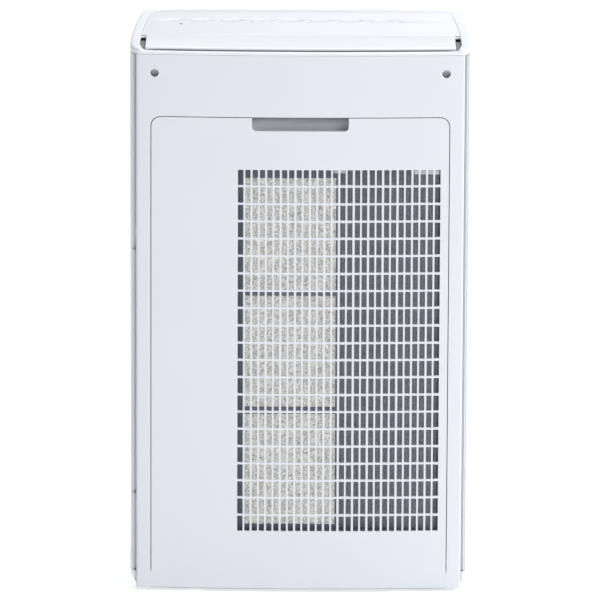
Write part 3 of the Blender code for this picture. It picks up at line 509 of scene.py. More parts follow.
def make_fascia():
    """The crown's parabola between two quarter-round edges, with a wall behind each edge."""
    low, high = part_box("rear_fascia")
    opening_corner = COVER_CORNER + SHUT_GAP
    opening = (-COVER_HALF - SHUT_GAP, COVER_HALF + SHUT_GAP, COVER_LOW.z - SHUT_GAP,
               COVER_TOP + SHUT_GAP, CLOSE, opening_corner)
    turn = (high.x - FASCIA_EDGE) + FASCIA_EDGE * np.sin(np.linspace(0, np.pi / 2, 8))
    corner = np.linspace(opening[1] - opening_corner, opening[1], 9)
    pan_top = BASE_TOP + FIT_GAP
    half = (np.linspace(0, 140 * MM, 25), corner, well_lines(SCREW_X), turn)
    x, z = grid_of([*half, *[-part for part in half]],
                   [low.z, opening[2], pan_top, (120 * MM, 250 * MM, 380 * MM),
                    np.linspace(opening[3] - opening_corner, opening[3], 9),
                    well_lines(SCREW_Z), high.z])
    over = np.maximum(0, np.abs(x) - (high.x - FASCIA_EDGE)).clip(0, FASCIA_EDGE)
    rise = FASCIA_EDGE - np.sqrt(FASCIA_EDGE ** 2 - over ** 2)
    wells = [(side * SCREW_X, SCREW_Z, WELL_RADIUS) for side in (-1, 1)]
    x, z, keep = pierce(x, z, [opening], wells)
    rear = np.stack([x, rear_y(x) + rise, z], -1)
    seat, back = -101 * MM, -60 * MM
    shell_side = [rear[:, :1] * (1, 0, 1) + (0, y, 0) for y in (back, seat)]
    other_side = [rear[:, -1:] * (1, 0, 1) + (0, y, 0) for y in (seat, back)]
    grid = np.concatenate([*shell_side, rear, *other_side], 1)
    above = (z[:-1, 0] > pan_top - CLOSE)[:, None]
    keep = np.concatenate([above, above | True, keep, above | True, above], 1)
    patches = [patch(grid, keep=keep)]
    well_y = np.linspace(rear_y(COVER_HALF) + 1 * MM, -90 * MM, 3)
    top = opening[3] - COVER_CORNER - 0.5 * MM
    for side in (-1, 1):
        wall = [at(np.c_[np.full(3, side * opening[1]), well_y], level)
                for level in (BASE_TOP + 2 * MM, top)]
        patches.append(patch(wall, flip=side > 0))
        face = rear_y(SCREW_X)
        profile = [(2 * MM, SCREW_SINK), (WELL_RADIUS, SCREW_SINK), (WELL_RADIUS, 1.5 * MM)]
        patches.append(turned(profile, (side * SCREW_X, face, SCREW_Z), "Y"))
    piece("fascia_moulding", patches, shell, ["rear_fascia"], wall=COVER_WALL,
          edge=0.35 * MM)


make_fascia()


# ---------- screws
# Two pan-head screws hold the fascia to the frame. They are bright zinc-plated steel, turned,
# with a rolled cross recess, and they sit at the bottom of their wells.

def softened(name, node, mat, edge, body="housing", **looks):
    """A finished copy of a CAD node: doubles merged, flats made whole, and sharp edges rounded
    by edge in mm."""
    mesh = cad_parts[node].data.copy()
    with edited(mesh, 0.02 * MM) as bm:
        bmesh.ops.dissolve_limit(bm, angle_limit=np.radians(1), verts=bm.verts, edges=bm.edges)
    fit(name, mesh, mat, [node], body, edge=edge * MM, **looks)


steel = finish("zinc_steel", (0.50, 0.51, 0.53), 0.34, grain=0.25, relief=0.01, mottle=0.2,
               Metallic=1.0)
for side in ("left", "right"):
    softened(f"screw_{side}", f"screw_rear_{side}", steel, 0.25)


# ---------- rear cover
# The lift-off cover is one thin crowned moulding. Its 28 by 21 intake slots have rounded
# corners, the finger notch is cut into its top edge, and two hooks at the bottom hold it.

GRILLE_X, GRILLE_Z = (-65.6 * MM, 148.2 * MM), (67.4 * MM, 460.9 * MM)
COLUMNS, ROWS = 28, 21
SLOT_WIDTH, RIB_HEIGHT, SLOT_CORNER = 5.85 * MM, 1.9 * MM, 0.8 * MM
RECESS_HALF, RECESS_FLOOR, RECESS_CORNER = 51 * MM, COVER_TOP - 14 * MM, 4.5 * MM


def slot_edges(span, count, width):
    """Low and high edge of each of count openings of one width, spread evenly over a span."""
    low = np.linspace(span[0], span[1] - width, count)
    return low, low + width


def make_cover():
    """The rear's parabola on a grid whose lines are the slots' edges, with its cells opened.
    The two upper corners are squares of the grid pressed into quarter discs."""
    height = (GRILLE_Z[1] - GRILLE_Z[0] - RIB_HEIGHT * (ROWS - 1)) / ROWS
    x0, x1 = slot_edges(GRILLE_X, COLUMNS, SLOT_WIDTH)
    z0, z1 = slot_edges(GRILLE_Z, ROWS, height)
    inner = COVER_HALF - COVER_CORNER
    notch = np.linspace(RECESS_HALF - RECESS_CORNER, RECESS_HALF, 6)
    side = np.linspace(inner, COVER_HALF, 8)
    x, z = grid_of([x0, x0 + SLOT_CORNER, x1 - SLOT_CORNER, x1, side, -side, notch, -notch,
                    np.linspace(-inner, GRILLE_X[0], 14)],
                   [COVER_LOW.z, (20 * MM, 44 * MM), z0, z0 + SLOT_CORNER, z1 - SLOT_CORNER, z1,
                    480 * MM, np.linspace(RECESS_FLOOR, RECESS_FLOOR + RECESS_CORNER, 6),
                    np.linspace(COVER_TOP - COVER_CORNER, COVER_TOP, 8)])
    windows = [(a, b, c, d, SLOT_CORNER, SLOT_CORNER)
               for a, b in zip(x0, x1) for c, d in zip(z0, z1)]
    windows.append((-RECESS_HALF, RECESS_HALF, RECESS_FLOOR, 2 * COVER_TOP, RECESS_CORNER,
                    CLOSE))
    a = (np.abs(x) - inner) / COVER_CORNER
    b = (z - COVER_TOP + COVER_CORNER) / COVER_CORNER
    x, z, keep = pierce(x, z, windows)
    corner = (a > 0) & (b > 0)
    round_x = np.sign(x) * (inner + COVER_CORNER * a * np.sqrt(np.abs(1 - b ** 2 / 2)))
    round_z = COVER_TOP - COVER_CORNER + COVER_CORNER * b * np.sqrt(np.abs(1 - a ** 2 / 2))
    x, z = np.where(corner, round_x, x), np.where(corner, round_z, z)
    piece("cover_moulding", [patch(np.stack([x, rear_y(x), z], -1), keep=keep)], shell,
          ["rear_cover", "grille_cross_ribs"], "rear_cover", wall=COVER_WALL, edge=0.3 * MM,
          segments=1)


make_cover()


# The recess cup is the shell's own plastic. Its darker grey is painted shade for the shadow in
# the finger notch.
recess_painted_shade = finish("recess_painted_shade", (0.54, 0.56, 0.59), 0.5)


def make_recess_cup():
    """A U-shaped line, down, along the notch's floor and up again, carried inwards to a back."""
    low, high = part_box("recess_cup")
    wall, soft = 2 * MM, 1.6 * MM

    def line(inset):
        half, floor, r = RECESS_HALF - inset, RECESS_FLOOR + inset, RECESS_CORNER - inset
        curve = bend((half - r, floor), (half, floor), (half, floor + r), 9)
        right = np.vstack([(0, floor), curve, (half, high.z)])
        return np.vstack([right[:0:-1] * (-1, 1), right])

    turn = np.linspace(0, np.pi / 2, 7)
    stations = [(0, low.y)] + [(soft * (1 - np.cos(t)), high.y - wall - soft * (1 - np.sin(t)))
                               for t in turn]
    grid = [np.insert(line(inset), 1, y, axis=1) for inset, y in stations]
    piece("recess_cup_moulding", [patch(grid, caps=(-1,))], recess_painted_shade, ["recess_cup"],
          "rear_cover", wall=1.6 * MM)


make_recess_cup()


def block(low, high):
    """A box between two corners."""
    (x0, y0, z0), (x1, y1, z1) = low, high
    ring = [(x0, y0), (x1, y0), (x1, y1), (x0, y1)]
    return patch([at(ring, z0), at(ring, z1)], columns=True, caps=(0, -1))


HOOK_X, HOOK_HALF, HOOK_LOW, HOOK_TOP = 110 * MM, 9 * MM, 4.5 * MM, 18 * MM


def make_cover_hooks():
    """Two L-shaped feet at the bottom edge, which stand in slots of the floor pan."""
    face = rear_y(HOOK_X) + COVER_WALL
    step, patches = face + 1.2 * MM, []
    for x in (-HOOK_X, HOOK_X):
        x0, x1 = x - HOOK_HALF, x + HOOK_HALF
        patches.append(block((x0, face - 0.5 * MM, COVER_LOW.z + 0.5 * MM), (x1, step, HOOK_TOP)))
        patches.append(block((x0, step, HOOK_LOW), (x1, face + 3.5 * MM, HOOK_TOP)))
    piece("cover_hooks", patches, shell, body="rear_cover", edge=0.4 * MM)


make_cover_hooks()


# ---------- top rim
# A glossier ring lies on the body. Its outer edge is rounded, it is lower along the rear where
# air leaves, and inside it a ledge at each end carries the flap.

RIM_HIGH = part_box("top_rim")[1]
RIM_BOTTOM = RIM_HIGH.z - 6.4 * MM
RIM_LIP, SLOT_HALF, FRONT_LIP = 4.5 * MM, 169.7 * MM, 8 * MM
INNER_CORNERS = {"rear_corner": (9 * MM, 26 * MM), "front_corner": 19 * MM}
top_white = finish("top_gloss", (0.86, 0.88, 0.91), 0.24, grain=0.5, relief=0.006, mottle=0.015)


def inner_plan(gap=0.0, n=24):
    """The opening inside the rim, grown by gap, in step with the outer plan."""
    return plan(RIM_LIP + gap, WIDTH / 2 - SLOT_HALF + gap, FRONT_LIP + gap, n=n,
                **INNER_CORNERS)


def make_rim():
    """Rings up the outside, over a quarter round, across the lip, down inside to the ledge and
    back below. Along the rear the heights above the seam are pressed to about half."""
    n, top, soft, round_r = 60, RIM_HIGH.z, 0.8 * MM, 2.8 * MM
    turn = np.linspace(0, np.pi / 2, 8)
    rings = [at(plan(n=n), RIM_BOTTOM), at(plan(n=n), top - round_r)]
    for a in turn[1:]:
        inset = round_r * (1 - np.cos(a))
        rings.append(at(plan(inset, inset, inset, n=n), top - round_r * (1 - np.sin(a))))
    for a in turn:
        rings.append(at(inner_plan(-soft * (1 - np.sin(a)), n), top - soft * (1 - np.cos(a))))
    ledge, under = top - 6.3 * MM, top - 8 * MM
    shelf = plan(RIM_LIP + 0.4 * MM, WIDTH / 2 - SLOT_HALF + 8 * MM, FRONT_LIP + 3 * MM,
                 n=n, **INNER_CORNERS)
    shelf_back = plan(3.2 * MM, WIDTH / 2 - SLOT_HALF, 5.5 * MM, n=n)
    rings += [at(inner_plan(0, n), ledge), at(shelf, ledge), at(shelf, under),
              at(shelf_back, under), at(shelf_back, RIM_BOTTOM)]
    grid = np.array(rings)
    x, y, z = grid[..., 0], grid[..., 1], grid[..., 2]
    low_from, end, fade, rear, pressed = top - 5.8 * MM, 169 * MM, 4 * MM, -95 * MM, 0.52
    share = np.clip((end - np.abs(x)) / fade, 0, 1) * (y < rear)
    share = share * share * (3 - 2 * share)
    grid[..., 2] = np.where(z > low_from, z - share * (z - low_from) * pressed, z)
    piece("rim_moulding", [patch(grid, rows=True, columns=True)], top_white, ["top_rim"],
          angle=30)


make_rim()


# ---------- outlet flap
# The flap turns on a round nose along its front edge. Its rear edge is rounded and follows the
# body's crown. A lip set back under it and ribs stiffen it. Grey strips on the ledges in the end
# slots are painted shade, and a thin black sheet at each slot's front end is painted shadow.

FLAP_LOW, FLAP_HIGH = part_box("outlet_flap")
FLAP_NOSE, FLAP_HALF = 2.2 * MM, 163.4 * MM
FLAP_AXIS_Y, FLAP_AXIS_Z = -37.5 * MM, FLAP_HIGH.z - FLAP_NOSE
FLAP_INSET, FLAP_WALL = 8.5 * MM, 3 * MM


def make_flap():
    """The Y-Z section, nose, underside, lip and rounded edge, carried across the width; its
    rear part moves with the crown."""
    top, low, r = FLAP_HIGH.z, FLAP_LOW.z, 2.2 * MM
    nose = np.linspace(np.pi / 2, -np.pi / 2, 15)
    turn = np.linspace(0, np.pi / 2, 12)
    front = np.c_[FLAP_AXIS_Y + FLAP_NOSE * np.cos(nose), FLAP_AXIS_Z + FLAP_NOSE * np.sin(nose)]
    front = np.vstack([front, (FLAP_AXIS_Y - 6 * MM, top - FLAP_WALL)])
    under = top - FLAP_WALL
    rear = np.vstack([(9 * MM, under), (7.6 * MM, under - 0.6 * MM), (7 * MM, low),
                      (5 * MM, low), (4.8 * MM, under), (1 * MM, under),
                      (0.2 * MM, under + 0.3 * MM),
                      np.c_[r * (1 - np.cos(turn)), top - r * (1 - np.sin(turn))]])
    x = np.linspace(-FLAP_HALF, FLAP_HALF, 49)
    grid = []
    for place in x:
        crown = rear_y(place) + FLAP_INSET
        line = np.vstack([front, rear + (crown, 0)])
        grid.append(np.insert(line, 0, place, axis=1))
    piece("flap_moulding", [patch(grid, columns=True, caps=(0, -1))], top_white,
          ["outlet_flap"], "flap", edge=0.35 * MM)
    ribs = [block((place - 0.8 * MM, -94 * MM, top - 5.6 * MM),
                  (place + 0.8 * MM, -46 * MM, top - FLAP_WALL + 0.1 * MM))
            for place in np.linspace(-126 * MM, 126 * MM, 7)]
    piece("flap_ribs", ribs, top_white, body="flap", edge=0.25 * MM)
    pins = [turned([(0, -6 * MM), (1.3 * MM, -6 * MM), (1.3 * MM, 5.6 * MM), (0.9 * MM, 6 * MM),
                    (0, 6 * MM)], (side * 168 * MM, FLAP_AXIS_Y, FLAP_AXIS_Z), "X", 24)
            for side in (-1, 1)]
    piece("flap_pins", pins, top_white, body="flap")


make_flap()
# Grey painted shade for the ledges in the end slots.
ledge_painted_shade = finish("ledge_painted_shade", (0.22, 0.225, 0.235), 0.7)
# Black: the own colour of the socket, the sensor case and the board parts, and also painted
# shadow on the thin sheets at the front ends of the end slots.
black_and_painted_shadow = finish("black_and_painted_shadow", (0.012, 0.012, 0.014), 0.6)


def make_end_slots():
    """A grey strip of painted shade on the ledge at each end of the flap, and a thin black sheet
    of painted shadow at the strip's front.
    """
    ledge, front, rear = FLAP_HIGH.z - 6.3 * MM, FLAP_AXIS_Y + 1.8 * MM, -88 * MM
    shade_strips, shadow_sheets = [], []
    for side in (-1, 1):
        x0, x1 = sorted((side * (FLAP_HALF + 0.5 * MM), side * (SLOT_HALF - 0.3 * MM)))
        shade_strips.append(block((x0, rear, ledge - 0.1 * MM), (x1, front, ledge + 0.5 * MM)))
        shadow_sheets.append(block((x0, front, ledge), (x1, front + 0.2 * MM, ledge + 5.6 * MM)))
    piece("end_slot_painted_shade", shade_strips, ledge_painted_shade, edge=0.2 * MM)
    piece("slot_end_painted_shadow", shadow_sheets, black_and_painted_shadow)


make_end_slots()


# ---------- control plate
# A flat glossy plate fills the rim in front of the flap. Eight round keys come up through it,
# each with a small lamp behind it, and a light sensor's dark window stands at the left.

PLATE_REAR, PLATE_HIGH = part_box("control_plate")[0].y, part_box("control_plate")[1].z
PLATE_WALL, PLATE_SOFT, PROUD, KEY_HOLE = 3 * MM, 0.3 * MM, 0.05 * MM, 10.35
KEYS = ("power", "fan_speed", "mode", "humidify", "ioniser", "timer", "child_lock", "lights")


def arc(radius, start, end, n):
    """n points on an arc in mm; the angles are in degrees."""
    a = np.radians(np.linspace(start, end, n))
    return np.c_[radius * np.cos(a), radius * np.sin(a)]


def make_plate():
    """A flat curve that is given a height and rounded edges: the opening's outline, cut off
    along the flap's nose, and a round hole for each key."""
    ring = inner_plan(FIT_GAP, n=40)
    ring = ring[ring[:, 1] > PLATE_REAR]
    half = side_x(PLATE_REAR) - (WIDTH / 2 - SLOT_HALF) - FIT_GAP
    ring = np.vstack([(half, PLATE_REAR), ring, (-half, PLATE_REAR)])
    curve = bpy.data.curves.new("plate_moulding", "CURVE")
    curve.dimensions, curve.fill_mode = "2D", "BOTH"
    curve.extrude, curve.bevel_depth = (PLATE_WALL - PROUD) / 2 - PLATE_SOFT, PLATE_SOFT
    curve.offset, curve.bevel_resolution = -PLATE_SOFT, 2
    hole = arc(KEY_HOLE, 0, 352.5, 48) * MM
    for outline in (ring, *(hole + middle_of("key_" + name) for name in KEYS)):
        spline = curve.splines.new("POLY")
        spline.points.add(len(outline) - 1)
        points = np.c_[outline, np.zeros(len(outline)), np.ones(len(outline))]
        spline.points.foreach_set("co", points.astype(np.float32).ravel())
        spline.use_cyclic_u = True
    holder = placed("plate_outline", curve)
    graph = bpy.context.evaluated_depsgraph_get()
    mesh = bpy.data.meshes.new_from_object(holder.evaluated_get(graph))
    bpy.data.objects.remove(holder)
    mesh.transform(Matrix.Translation((0, 0, PLATE_HIGH - (PLATE_WALL + PROUD) / 2)))
    with edited(mesh, 0.01 * MM) as bm:
        bmesh.ops.recalc_face_normals(bm, faces=bm.faces)
    fit("plate_moulding", mesh, top_white, ["control_plate"], angle=30)


make_plate()


# ---------- keys and marks
# Each key is a turned disc with a shallow dish, and it carries one generic pad-printed mark.
# A clear lamp lens stands in front of each key, and the light sensor has a dark window.

KEY_TOP, DISH_RADIUS, DISH_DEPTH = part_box("key_power")[1].z, 8.8 * MM, 0.2 * MM
LENS = np.array([(0, 0), (0.6, 0), (0.8, -0.3)]) * MM
WINDOW = np.array([(0, 0), (2.1, 0), (2.4, -0.3)]) * MM
LENS_TOP, LAMP_AHEAD, SENSOR_PLACE = PLATE_HIGH - 0.01 * MM, 14 * MM, (-128 * MM, 25 * MM)
key_white = finish("key_gloss", (0.84, 0.86, 0.89), 0.20, grain=0.5, relief=0.004, mottle=0.01)
mark_grey = finish("mark_ink", (0.30, 0.31, 0.34), 0.5, mottle=0.1)
lens_clear = finish("lens_clear", (0.75, 0.78, 0.80), 0.12, mottle=0.02)
sensor_dark = finish("sensor_glass", (0.03, 0.03, 0.035), 0.08, mottle=0.1)


def ribbon(line, width, middle):
    """A strip along a line in mm round a key's middle, laid on the key's dish."""
    line = np.asarray(line, float)
    along = np.gradient(line, axis=0)
    across = np.c_[-along[:, 1], along[:, 0]] / np.linalg.norm(along, axis=1)[:, None]
    rows = []
    for side in (-1, 1):
        edge = (line + side * width / 2 * across) * MM
        share = (edge ** 2).sum(1) / DISH_RADIUS ** 2
        rows.append(at(edge + middle, KEY_TOP - DISH_DEPTH * (1 - share) + 0.03 * MM))
    return patch(rows, flip=True)


MARKS = {
    "power": [arc(2.4, 125, 415, 28), [(0, 0.6), (0, 3.2)]],
    "fan_speed": [arc(1.3, a, a + 170, 14) + arc(1.3, a + 90, a + 90, 1)
                  for a in (0, 120, 240)],
    "mode": [[(-2.6, y), (2.6, y)] for y in (-1.6, 0, 1.6)] + [[(x, y - 0.6), (x, y + 0.6)]
             for x, y in ((1.2, -1.6), (-1.2, 0), (0.8, 1.6))],
    "humidify": [np.vstack([(0, 3.0), arc(1.8, 150, 390, 22) - (0, 0.8), (0, 3.0)])],
    "ioniser": [arc(2.5, 0, 360, 32), [(-1.2, 0), (1.2, 0)], [(0, -1.2), (0, 1.2)]],
    "timer": [arc(2.5, 0, 360, 32), [(0, 0), (0, 1.7)], [(0, 0), (1.2, -0.7)]],
    "child_lock": [[(-1.9, 0.3), (1.9, 0.3), (1.9, -2.4), (-1.9, -2.4), (-1.9, 0.3)],
                   arc(1.2, 0, 180, 14) + (0, 1.2), [(-1.2, 1.2), (-1.2, 0.3)],
                   [(1.2, 1.2), (1.2, 0.3)]],
    "lights": [arc(1.1, 0, 360, 24)] + [[(1.8 * c, 1.8 * s), (2.8 * c, 2.8 * s)]
               for c, s in arc(1, 0, 315, 8).round(2)],
}


def make_keys():
    """The disc's profile: underside, side, rounded rim, then a dish that falls as r squared."""
    dish = np.linspace(DISH_RADIUS, 0, 10)
    lenses = []
    for name in KEYS:
        node = f"key_{name}"
        low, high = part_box(node)
        radius, middle = (high.x - low.x) / 2, middle_of(node)
        profile = np.vstack([(0, low.z), (radius, low.z), (radius, KEY_TOP - 0.5 * MM),
                             (radius - 0.15 * MM, KEY_TOP - 0.15 * MM),
                             (radius - 0.5 * MM, KEY_TOP),
                             np.c_[dish, KEY_TOP - DISH_DEPTH * (1 - (dish / DISH_RADIUS) ** 2)]])
        piece(node + "_disc", [turned(profile, (*middle, 0))], key_white, [node], node)
        piece(node + "_mark", [ribbon(line, 0.42, middle) for line in MARKS[name]], mark_grey,
              body=node, wall=0.02 * MM)
        lenses.append(turned(LENS, (middle[0], middle[1] + LAMP_AHEAD, LENS_TOP), n=20))
    piece("lamp_lenses", lenses, lens_clear)
    piece("light_sensor_window", [turned(WINDOW, (*SENSOR_PLACE, LENS_TOP))], sensor_dark)


make_keys()


# ---------- filter cassette
# A charcoal frame stands behind the cover and holds the odour filters. White pull tabs, sewn
# to the filters, hang out at its upper edge.

CASSETTE_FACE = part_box("filter_cassette")[0].y
TAB_PROUD, TAB_TOP = 0.9 * MM, 467 * MM
# each tab's two sides along X, and its lower end
TABS = ((35 * MM, 48 * MM, 455.4 * MM), (120 * MM, 147 * MM, 454.6 * MM))
charcoal = finish("cassette_charcoal", (0.18, 0.187, 0.23), 0.55)
fleece = finish("white_fleece", (0.86, 0.87, 0.86), 0.9, grain=1.2, relief=0.08)
softened("cassette_frame", "filter_cassette", charcoal, 0.5)
piece("filter_pull_tabs", [block((x0, CASSETTE_FACE - TAB_PROUD, z), (x1, CASSETTE_FACE, TAB_TOP))
                           for x0, x1, z in TABS], fleece, edge=0.35 * MM)


# ---------- honeycomb blocks
# Three porous cream blocks adsorb odours. Each one is a honeycomb of six-sided cells, and the
# cells are filled with coarse granules of slightly different tones.

CELL, CELL_WALL, CELL_DEPTH = 2.2 * MM, 0.22 * MM, 1.7 * MM


def granular(name, dark, light, size, roughness, relief, painted_glow=0.0):
    """Voronoi granules of one size in mm: each has its own tone between dark and light, and its
    edges are lower than its middle by relief. The glow is emission in the granules' own colour:
    painted light that makes them brighter than the lamps leave them."""
    mat, net, shader, place = new_material(name)
    tone = net.node("TexVoronoi", None, {"Vector": place, "Scale": 1000 / size}, 1)
    edge = net.node("TexVoronoi", None, {"Vector": place, "Scale": 1000 / size})
    share = net.node("SeparateColor", None, {0: tone})
    colour = share.tint(dark, light)
    colour.feed(shader, "Base Color")
    colour.feed(shader, "Emission Color")
    shader.inputs["Emission Strength"].default_value = painted_glow
    (share * 0.1 + (roughness - 0.05)).feed(shader, "Roughness")
    bump = net.node("Bump", {"invert": True}, {"Height": edge, "Distance": relief * MM})
    bump.feed(shader, "Normal")
    return mat


# The blocks' glow is painted light: emission that lifts them out of the shade behind the cover.
cream = granular("cream_granules", (0.40, 0.395, 0.375), (1.0, 0.99, 0.965), size=1.25,
                 roughness=0.85, relief=0.25, painted_glow=0.21)


def honeycomb(low, high, seed):
    """Six-sided cells on a face, each a wall top, a wall down to CELL_DEPTH and a floor whose
    middle stands at a random height. What falls outside the face is clipped to its border."""
    radius = CELL / np.sqrt(3)
    columns, rows = int((high.x - low.x) / CELL) + 2, int((high.z - low.z) / (1.5 * radius)) + 2
    i, j = np.meshgrid(np.arange(columns), np.arange(rows))
    x = (low.x + (i + 0.5 * (j % 2)) * CELL).ravel()[:, None]
    z = (low.z + j * 1.5 * radius).ravel()[:, None]
    a = np.radians(np.arange(30, 390, 60))[None, :]
    heap = np.random.default_rng(seed).uniform(0.05, 0.95, x.shape) * CELL_DEPTH
    rings = []
    for r, depth in ((radius, 0), (radius - CELL_WALL, 0), (radius - CELL_WALL * 1.5, CELL_DEPTH),
                     (radius * 0.45, heap)):
        ring_x = np.clip(x + r * np.cos(a), low.x, high.x)
        ring_z = np.clip(z + r * np.sin(a), low.z, high.z)
        rings.append(np.stack([ring_x, low.y + depth + 0 * ring_x, ring_z], -1))
    points = np.stack(rings, 1)
    index = np.arange(points.size // 3).reshape(points.shape[:3])
    turn = np.roll(index, -1, 2)
    quads = np.stack([index[:, :-1], turn[:, :-1], turn[:, 1:], index[:, 1:]], -1).reshape(-1, 4)
    return points.reshape(-1, 3), quads.tolist() + index[:, -1].tolist()


def make_blocks():
    """The cells on the rear face; the sides and the back close the block."""
    for seed, place in enumerate(("bottom", "middle", "top")):
        node = f"honeycomb_block_{place}"
        low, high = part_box(node)
        ring = [(low.x, low.z), (high.x, low.z), (high.x, high.z), (low.x, high.z)]
        body = patch([[(x, y, z) for x, z in ring] for y in (low.y, high.y)], columns=True,
                     caps=(-1,))
        piece(node + "_cells", [honeycomb(low, high, seed), body], cream, [node],
              angle=60)


make_blocks()


# ---------- carbon screen
# The second filter is a dark cloth screen full of carbon grains, sewn in narrow upright
# channels and quilted across.

CHANNELS, CHANNEL_DEPTH = 56, 0.5 * MM
SEAM_PITCH, SEAM_REACH, SEAM_DEPTH, HEM = 26 * MM, 1.2 * MM, 0.35 * MM, 0.8 * MM
carbon = granular("carbon_cloth", (0.15, 0.155, 0.175), (0.36, 0.37, 0.40), size=0.7,
                  roughness=0.75, relief=0.12)


def make_screen():
    """Upright channels as the absolute value of a sine, dipped by shallow seams across."""
    low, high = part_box("carbon_screen")
    x, z = np.meshgrid(np.linspace(low.x, high.x, CHANNELS * 6 + 1),
                       np.linspace(low.z, high.z, 120))
    bulge = np.abs(np.sin(np.pi * (x - low.x) / (high.x - low.x) * CHANNELS))
    seam = np.exp(-((z - low.z) % SEAM_PITCH / SEAM_REACH) ** 2)
    y = low.y + CHANNEL_DEPTH * (1 - bulge) + SEAM_DEPTH * seam
    border = (x == x.min()) | (x == x.max()) | (z == z.min()) | (z == z.max())
    y = np.where(border, low.y + HEM, y)
    body = block((low.x, low.y + HEM, low.z), high)
    piece("carbon_screen_cloth", [patch(np.stack([x, y, z], -1)), body], carbon,
          ["carbon_screen"], angle=80)


make_screen()


# ---------- pleated filter and its bay
# The particle filter is white paper in a fleece frame, folded into close upright pleats that
# beads of glue hold apart. It stands in a grey sleeve behind the cassette.

PAPER_FOLDS, WICK_FOLDS, SHARPNESS = 58, 44, 0.985
BEADS, BEAD_HALF, BEAD_DEPTH, BEAD_MARGIN = 8, 0.8 * MM, 9 * MM, 40 * MM
paper = finish("filter_paper_white", (0.88, 0.89, 0.88), 0.95, grain=0.8, relief=0.03)
inner_grey = finish("inner_grey", (0.30, 0.31, 0.33), 0.5)
softened("particle_filter_frame", "hepa_frame", fleece, 0.8)
softened("filter_bay_sleeve", "filter_bay", inner_grey, 0.5)


def pleats(low, high, folds, lift=0.0):
    """A cosine between the two faces, sharpened by an arcsine so that the flanks are flat."""
    x = np.linspace(low.x, high.x, folds * 8 + 1)
    wave = np.arcsin(SHARPNESS * np.cos(np.pi * folds * (x - low.x) / (high.x - low.x)))
    share = wave / np.arcsin(SHARPNESS)
    return np.c_[x, (low.y + high.y) / 2 + share * ((high.y - low.y) / 2 - 0.4 * MM) + lift]


def make_pleats():
    """The folded line carried up. The glue beads are short lengths of the same line, cut off
    inside the folds."""
    low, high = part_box("hepa_pleats")
    line = pleats(low, high, PAPER_FOLDS)
    piece("pleated_paper", [patch([at(line, low.z), at(line, high.z)])], paper,
          ["hepa_pleats"], wall=0.35 * MM)
    line = pleats(low, high, PAPER_FOLDS, -0.3 * MM)
    line[:, 1] = line[:, 1].clip(low.y, low.y + BEAD_DEPTH)
    beads = [patch([at(line, z - BEAD_HALF), at(line, z + BEAD_HALF)])
             for z in np.linspace(low.z + BEAD_MARGIN, high.z - BEAD_MARGIN, BEADS)]
    piece("pleat_glue_beads", beads, fleece, wall=0.25 * MM)


make_pleats()


# ---------- bulkhead, scroll and fan
# Air goes through the round mouth of the bulkhead into a centrifugal fan. The fan has many
# curved blades between a back plate and a ring, and a motor turns it inside a scroll.

FAN, BORE, BLADES, BLADE_LEAN = (40 * MM, 0, 300 * MM), 4.3, 36, 0.16
MOUTH = np.array([(75.8, -24.5), (75.8, -27.6), (76.6, -28.6), (78.4, -28.6), (80.5, -27)]) * MM
blower_grey = finish("blower_grey", (0.20, 0.205, 0.22), 0.45)
cap_blue = finish("cap_blue", (0.10, 0.28, 0.55), 0.4)
softened("bulkhead_moulding", "bulkhead", inner_grey, 0.6)
softened("scroll_moulding", "scroll_housing", inner_grey, 0.6)
piece("inlet_ring", [turned(MOUTH, FAN, "Y", 96)], inner_grey)


def make_impeller():
    """Blades are arcs in the fan's plane, carried along its axis. The hub with the back plate
    and the front ring are turned from profiles in mm."""
    low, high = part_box("impeller")
    rim, blades = (high.z - low.z) / 2 / MM, []
    for turn in np.linspace(0, 2 * np.pi, BLADES, endpoint=False):
        share = np.linspace(0, 1, 9)
        r = (72.5 + share * (rim - 73.2)) * MM
        a = turn + BLADE_LEAN * share ** 1.6
        line = np.c_[FAN[0] + r * np.cos(a), FAN[2] + r * np.sin(a)]
        blades.append(patch([np.insert(line, 1, y, axis=1)
                             for y in (low.y + 1.5 * MM, high.y - 1.5 * MM)]))
    piece("impeller_blades", blades, blower_grey, body="impeller", wall=1.2 * MM)
    plate = [(BORE, -29), (12, -29), (13, -28), (13, -8), (18, -2.4), (rim, -2), (rim, 0),
             (BORE, 0)]
    ring = [(72, 0), (rim - 0.5, 0), (rim, 0.5), (rim, 4), (86, 4), (85.5, 2), (72, 2)]
    rims = [turned(np.array(profile + profile[:1]) * MM + (0, face), FAN, "Y", 96)
            for profile, face in ((plate, high.y), (ring, low.y))]
    piece("impeller_rims", rims, blower_grey, ["impeller"], "impeller")


make_impeller()
softened("shaft", "motor_shaft", steel, 0.2, "impeller")
softened("impeller_cap_nut", "impeller_nut", cap_blue, 0.6, "impeller")


def make_motor():
    """The can's profile in mm from the bore out: rear face, a waist between two beads, and a
    domed cover."""
    low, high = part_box("fan_motor")
    rim, back = (high.z - low.z) / 2 / MM, (high.y - low.y) / MM
    profile = [(0, back - 4), (BORE, back - 4), (BORE, 0), (rim - 1.5, 0), (rim, 1.5), (rim, 8),
               (rim - 1, 8.6), (rim - 1, 20), (rim, 20.6), (rim, back - 5),
               (rim - 4, back - 1.2), (19, back - 1.2), (18, back), (0, back)]
    piece("motor_can", [turned(np.array(profile) * MM + (0, low.y), FAN, "Y", 72)], steel,
          ["fan_motor"])


make_motor()


# ---------- outlet duct and grid
# A flared duct of the same grey plastic leads back from the scroll to the outlet under the
# flap. A moulded finger guard with crossed bars closes its upper end.

softened("duct_moulding", "outlet_duct", inner_grey, 0.5)
softened("outlet_guard", "outlet_grid", inner_grey, 0.4)


# ---------- water drawer
# Tray, wick and tank slide out to the left with their own pieces of the side. The tank is clear
# bluish plastic with level marks, and its ribbed cap opens on a valve post in the tray.

